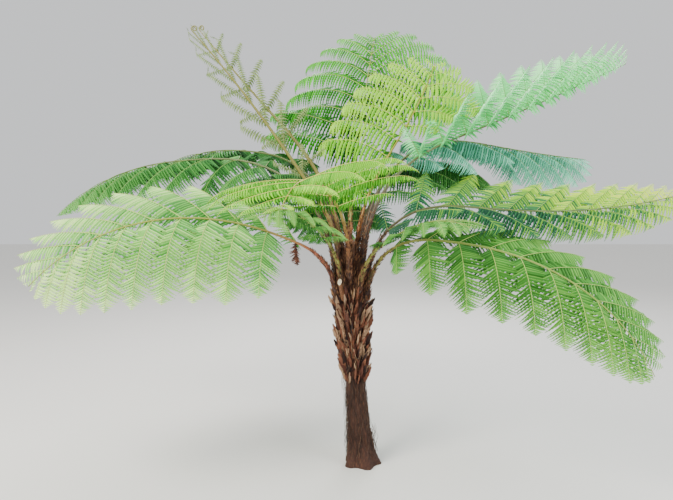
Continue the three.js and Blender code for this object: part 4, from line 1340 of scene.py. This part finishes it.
class FERN_OT_old_bases(bpy.types.Operator):
    """Model the broken bases of old fronds, split into strands at their ends"""

    bl_idname = "fern.old_bases"
    bl_label = "Old frond bases"

    def execute(self, context):
        draws = StubDraws(STUB_SEED)
        rng = np.random.default_rng(settings().seed)
        points, faces, skins = [], [], []
        for index in range(STUB_COUNT):
            skin = int(rng.choice(len(BASE_SHARES), p=BASE_SHARES))
            self.add_tongue(index, draws, rng, points)
            faces += tube_faces(BASE_ROWS, BASE_AROUND, len(points) - BASE_POINTS)
            last = len(points) - 1 - BASE_AROUND
            faces += [(last + j, last + (j + 1) % BASE_AROUND, len(points) - 1)
                      for j in range(BASE_AROUND)]
            skins += [skin] * (BASE_ROWS * BASE_AROUND) + [len(BASE_SHARES)] * BASE_AROUND
        bases = new_object("old_frond_bases", points, faces)
        add_skins(bases, skins, BASE_SKINS)
        bases.data.shade_smooth()
        finish_piece(bases, "bark", ["trunk"])
        return {"FINISHED"}

    def add_tongue(self, index, draws, rng, points):
        """One old base: its rows run from inside the trunk to a ragged, hollow end."""
        z = mix(STUB_LOWEST, STUB_HIGHEST, index / (STUB_COUNT - 1))
        out = outward(index * GOLDEN_ANGLE)
        side = np.cross(UP, out)
        along = turned(UP, out, mix(*STUB_LEAN, draws.draw()))
        length = mix(*STUB_LENGTH, draws.draw())
        slant = (0.5 - draws.draw()) * STUB_SLANT * STUB_HALF_WIDTH
        normal = np.cross(side, along)
        foot = trunk_axis(z) + out * (trunk_radius(z) - STUB_HALF_DEPTH)
        reaches, wides, deeps = zip(*STUB_SECTIONS)
        ragged = rng.uniform(*BASE_RAGGED, BASE_AROUND)
        for k in range(BASE_ROWS + 1):
            for j in range(BASE_AROUND):
                angle = 2 * math.pi * j / BASE_AROUND
                x, y = math.cos(angle), math.sin(angle)
                share = mix(reaches[0], 1 + ragged[j] + x * slant / length, k / BASE_ROWS)
                bulge = 1 + sum(
                    depth * ripple(x * around, y * around + index * apart, share * rise)
                    for around, apart, rise, depth in BASE_WAVES)
                wide = np.interp(share, reaches, wides) * STUB_HALF_WIDTH * x * bulge
                deep = np.interp(share, reaches, deeps) * STUB_HALF_DEPTH * y * bulge
                splay = BASE_SPLAY * max(0.0, share - BASE_SPLAYS_FROM) * length
                splay *= rng.uniform(*BASE_SPLAY_SPREAD)
                points.append(foot + along * share * length + side * wide
                              + normal * (deep + splay * y))
        points.append(np.mean(points[-BASE_AROUND:], axis=0) - along * BASE_HOLLOW)


class FERN_OT_husks(bpy.types.Operator):
    """Scatter ragged husks between the old bases, and root fibres down the trunk"""

    bl_idname = "fern.husks"
    bl_label = "Husks and root fibres"

    def execute(self, context):
        s = settings()
        husks = Scatter(s.seed + 1)
        for _ in range(s.husks):
            z, turn, lean, aside = husks.draw(HUSKS, "height", "turn", "lean", "aside")
            out = outward(turn)
            husks.add(HUSKS, on_trunk(z, turn) - out * HUSK_SUNK,
                      turned(UP, out, lean) + np.cross(UP, out) * aside, out)
        husks.grow("husks", strip_object("husk", HUSK_ROWS, fold=0.5, curl=0.16, sway=0.15),
                   "dry husk", HUSK_TONES)
        fibres = Scatter(s.seed + 2)
        for _ in range(s.fibres):
            share, turn, size, aside, lean = fibres.draw(
                FIBRES, "share", "turn", "length", "aside", "lean")
            z, out = FIBRE_RISE * share ** FIBRE_CROWD + FIBRE_LOWEST, outward(turn)
            aim = -UP + np.cross(UP, out) * aside + out * lean
            if z - size < FIBRE_CLEAR:
                aim = aim * np.array([1, 1, -1])
            fibres.add(FIBRES, on_trunk(z, turn), aim, out, size)
        fibres.grow("root_fibres", fibre_object("root fibre"), "root fibre", FIBRE_TONES)
        return {"FINISHED"}


class FERN_OT_scales(bpy.types.Operator):
    """Scatter papery brown scales on the growing point and the feet of the fronds"""

    bl_idname = "fern.scales"
    bl_label = "Scales"

    def execute(self, context):
        s = settings()
        scales = Scatter(s.seed + 3)
        for frond in FRONDS:
            curve = rib_curve(frond)
            for _ in range(s.scales):
                self.add_to_foot(scales, frond, curve)
        for _ in range(s.scales * CROWN_TIMES):
            self.add_to_crown(scales)
        for crozier in CROZIERS:
            points, across = crozier_line(crozier)
            for _ in range(s.scales):
                self.add_to_crozier(scales, crozier, points, across)
        scales.grow("papery_scales", strip_object("scale", SCALE_ROWS, fold=0.3, curl=0.2),
                    "papery scale", SCALE_TONES)
        return {"FINISHED"}

    def add_to_foot(self, scales, frond, curve):
        share, turn, lean, aside = scales.draw(FOOT_SCALES, "share", "turn", "lean", "aside")
        reach = SCALY_LENGTH * share ** SCALY_CROWD
        t = reach / frond["length"]
        point, tangent, normal = rib_at(curve, t)
        out = turned(normal, curve["across"], turn)
        aim = tangent + out * lean + np.cross(tangent, out) * aside
        scales.add(FOOT_SCALES, point + out * rib_radius(t) * foot_swell(reach) * SCALE_SUNK,
                   aim, out, shrink=1 - SCALY_SHRINK * reach / SCALY_LENGTH)

    def add_to_crown(self, scales):
        z, turn, lean, aside = scales.draw(CROWN_SCALES, "height", "turn", "lean", "aside")
        out = outward(turn)
        scales.add(CROWN_SCALES, on_trunk(z, turn), UP + out * lean + np.cross(UP, out) * aside,
                   out)

    def add_to_crozier(self, scales, crozier, points, across):
        share, turn, ahead, lean = scales.draw(COIL_SCALES, "share", "turn", "ahead", "lean")
        # It sits between two points, so a thousandth short of the last one
        x = share * (len(points) - 1.001)
        i = int(x)
        tangent = unit(points[i + 1] - points[i])
        out = turned(np.cross(across, tangent), across, turn)
        radius = crozier["radius"] * mix(1, COIL_THINS, x / (len(points) - 1))
        scales.add(COIL_SCALES, mix(points[i], points[i + 1], x - i) + out * radius * COIL_SCALE_SUNK,
                   tangent * ahead + out * lean, out)


def crozier_line(crozier):
    """Points from inside the trunk up the stalk and round the coil."""
    out = outward(crozier["heading"])
    reach = trunk_radius(crozier["foot"]) + crozier["radius"] * CROZIER_STANDS_OUT
    foot = trunk_axis(crozier["foot"]) + out * reach
    points = [foot - UP * crozier["radius"] * CROZIER_SUNK, foot]
    points += [foot + UP * crozier["stalk"] * k / CROZIER_STALK_POINTS
               for k in range(1, CROZIER_STALK_POINTS + 1)]
    centre = foot + UP * crozier["stalk"] - out * crozier["coil"]
    for k in range(1, COIL_POINTS + 1):
        radius = crozier["coil"] * (1 - COIL_TIGHTENS * k / COIL_POINTS)
        points.append(centre + turned(out, UP, 360 * COIL_TURNS * k / COIL_POINTS) * radius)
    return np.array(points), np.cross(out, UP)


class FERN_OT_croziers(bpy.types.Operator):
    """Sweep the two rolled-up croziers"""

    bl_idname = "fern.croziers"
    bl_label = "Croziers"

    def execute(self, context):
        section = section_object("crozier section", ROUND_SECTION)
        sweep, skin = rib_tree(), rib_material("amber")
        for crozier in CROZIERS:
            points, across = crozier_line(crozier)
            count = len(points)
            shape = dict(
                radius=[crozier["radius"] * mix(1, COIL_THINS, i / (count - 1))
                        for i in range(count)],
                face=[across] * count,
                along=[CROZIER_AGE[0] + CROZIER_AGE[1] * i / count for i in range(count)])
            piece = grow(crozier["name"] + "_stalk",
                         seeded("crozier line", points, shape, chain(count)), sweep,
                         {"Section": section, "Rib": skin}, keep=("along",))
            finish_piece(piece, "frond_young", [crozier["name"]])
        bpy.data.objects.remove(section)
        return {"FINISHED"}


class FERN_OT_cut_stalk(bpy.types.Operator):
    """Model the stump of a frond that was cut off, with its pale end"""

    bl_idname = "fern.cut_stalk"
    bl_label = "Cut stalk"

    def execute(self, context):
        out = outward(CUT_SEAT)
        along = turned(UP, out, CUT_LEAN)
        side = np.cross(UP, out)
        front = np.cross(side, along)
        foot = trunk_axis(CUT_FOOT) + out * trunk_radius(CUT_FOOT)
        points = []
        for k in range(CUT_ROWS + 1):
            share = k / CUT_ROWS
            swell = 1 + CUT_SWELL * (1 - share) ** 2
            for j in range(CUT_AROUND):
                angle = 2 * math.pi * j / CUT_AROUND
                x, y = math.cos(angle), math.sin(angle)
                ridge = 1 + CUT_RIDGES[1] * ripple(CUT_RIDGES[0] * x, CUT_RIDGES[0] * y, share)
                ring = (side * x + front * CUT_FLAT * y) * CUT_RADIUS
                lift = CUT_SLANT * CUT_RADIUS * y * (k == CUT_ROWS)
                points.append(foot + along * (share * CUT_LENGTH - lift) + ring * swell * ridge)
        faces = tube_faces(CUT_ROWS, CUT_AROUND)
        faces.append(tuple(range(CUT_ROWS * CUT_AROUND, (CUT_ROWS + 1) * CUT_AROUND)))
        stump = new_object("cut_stalk", points, faces)
        add_skins(stump, [0] * (len(faces) - 1) + [1], CUT_SKINS)
        finish_piece(stump, "bark")
        return {"FINISHED"}


class FERN_OT_stage(bpy.types.Operator):
    """Set up the floor, lights and camera"""

    bl_idname = "fern.stage"
    bl_label = "Stage"

    def execute(self, context):
        s = settings()
        scene = context.scene
        floor = new_object("floor", [(x * FLOOR_HALF, y * FLOOR_HALF, 0) for x, y in (
            (-1, -1), (1, -1), (1, 1), (-1, 1))], [(0, 1, 2, 3)])
        paint = new_material("matte studio floor, painted")
        shader = paint.node_tree.nodes["Principled BSDF"]
        shader.inputs["Base Color"].default_value = list(s.floor_colour) + [1]
        shader.inputs["Roughness"].default_value = FLOOR_ROUGHNESS
        floor.data.materials.append(paint)
        floor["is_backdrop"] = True
        world = bpy.data.worlds.new("studio")
        world.use_nodes = True
        sky = world.node_tree.nodes["Background"]
        sky.inputs["Color"].default_value = linear(SKY_COLOUR)
        sky.inputs["Strength"].default_value = SKY_STRENGTH
        scene.world = world
        for name, place, side, share, colour in LIGHTS:
            lamp = bpy.data.lights.new(name, "AREA")
            lamp.size = side
            lamp.energy = s.key_power * share
            lamp.color = linear(colour)[:3]
            thing = bpy.data.objects.new(name, lamp)
            thing.location = place
            aim = Vector(LIGHT_TARGET) - Vector(place)
            thing.rotation_euler = aim.to_track_quat("-Z", "Y").to_euler()
            scene.collection.objects.link(thing)
        camera = bpy.data.objects.new("camera", bpy.data.cameras.new("camera"))
        camera.data.lens = SENSOR_WIDTH * FOCAL_PIXELS / PHOTO_WIDTH
        camera.location = CAMERA_PLACE
        camera.rotation_euler = (math.radians(90 - CAMERA_PITCH), 0, 0)
        scene.collection.objects.link(camera)
        scene.camera = camera
        return {"FINISHED"}


class FERN_PT_panel(bpy.types.Panel):
    """Buttons for each step and the sizes that can be changed"""

    bl_idname = "FERN_PT_panel"
    bl_label = "Tree fern"
    bl_space_type = "VIEW_3D"
    bl_region_type = "UI"
    bl_category = "Tree fern"

    def draw(self, context):
        for operator in OPERATORS:
            self.layout.operator(operator.bl_idname)
        for key in FernSettings.__annotations__:
            self.layout.prop(context.scene.tree_fern, key)


OPERATORS = (
    FERN_OT_trunk, FERN_OT_old_bases, FERN_OT_husks, FERN_OT_fronds, FERN_OT_croziers,
    FERN_OT_scales, FERN_OT_cut_stalk, FERN_OT_stage,
)
CLASSES = (FernSettings,) + OPERATORS + (FERN_PT_panel,)


def register():
    for cls in CLASSES:
        bpy.utils.register_class(cls)
    bpy.types.Scene.tree_fern = PointerProperty(type=FernSettings)


def unregister():
    del bpy.types.Scene.tree_fern
    for cls in reversed(CLASSES):
        bpy.utils.unregister_class(cls)


def corners(box):
    return [[float(value) for value in corner] for corner in box]


def main():
    register()
    for operator in OPERATORS:
        area, name = operator.bl_idname.split(".")
        getattr(getattr(bpy.ops, area), name)()
    {"frame": corners(FRAME_BOX), "visual": corners(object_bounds())}


if __name__ == "__main__":
    main()
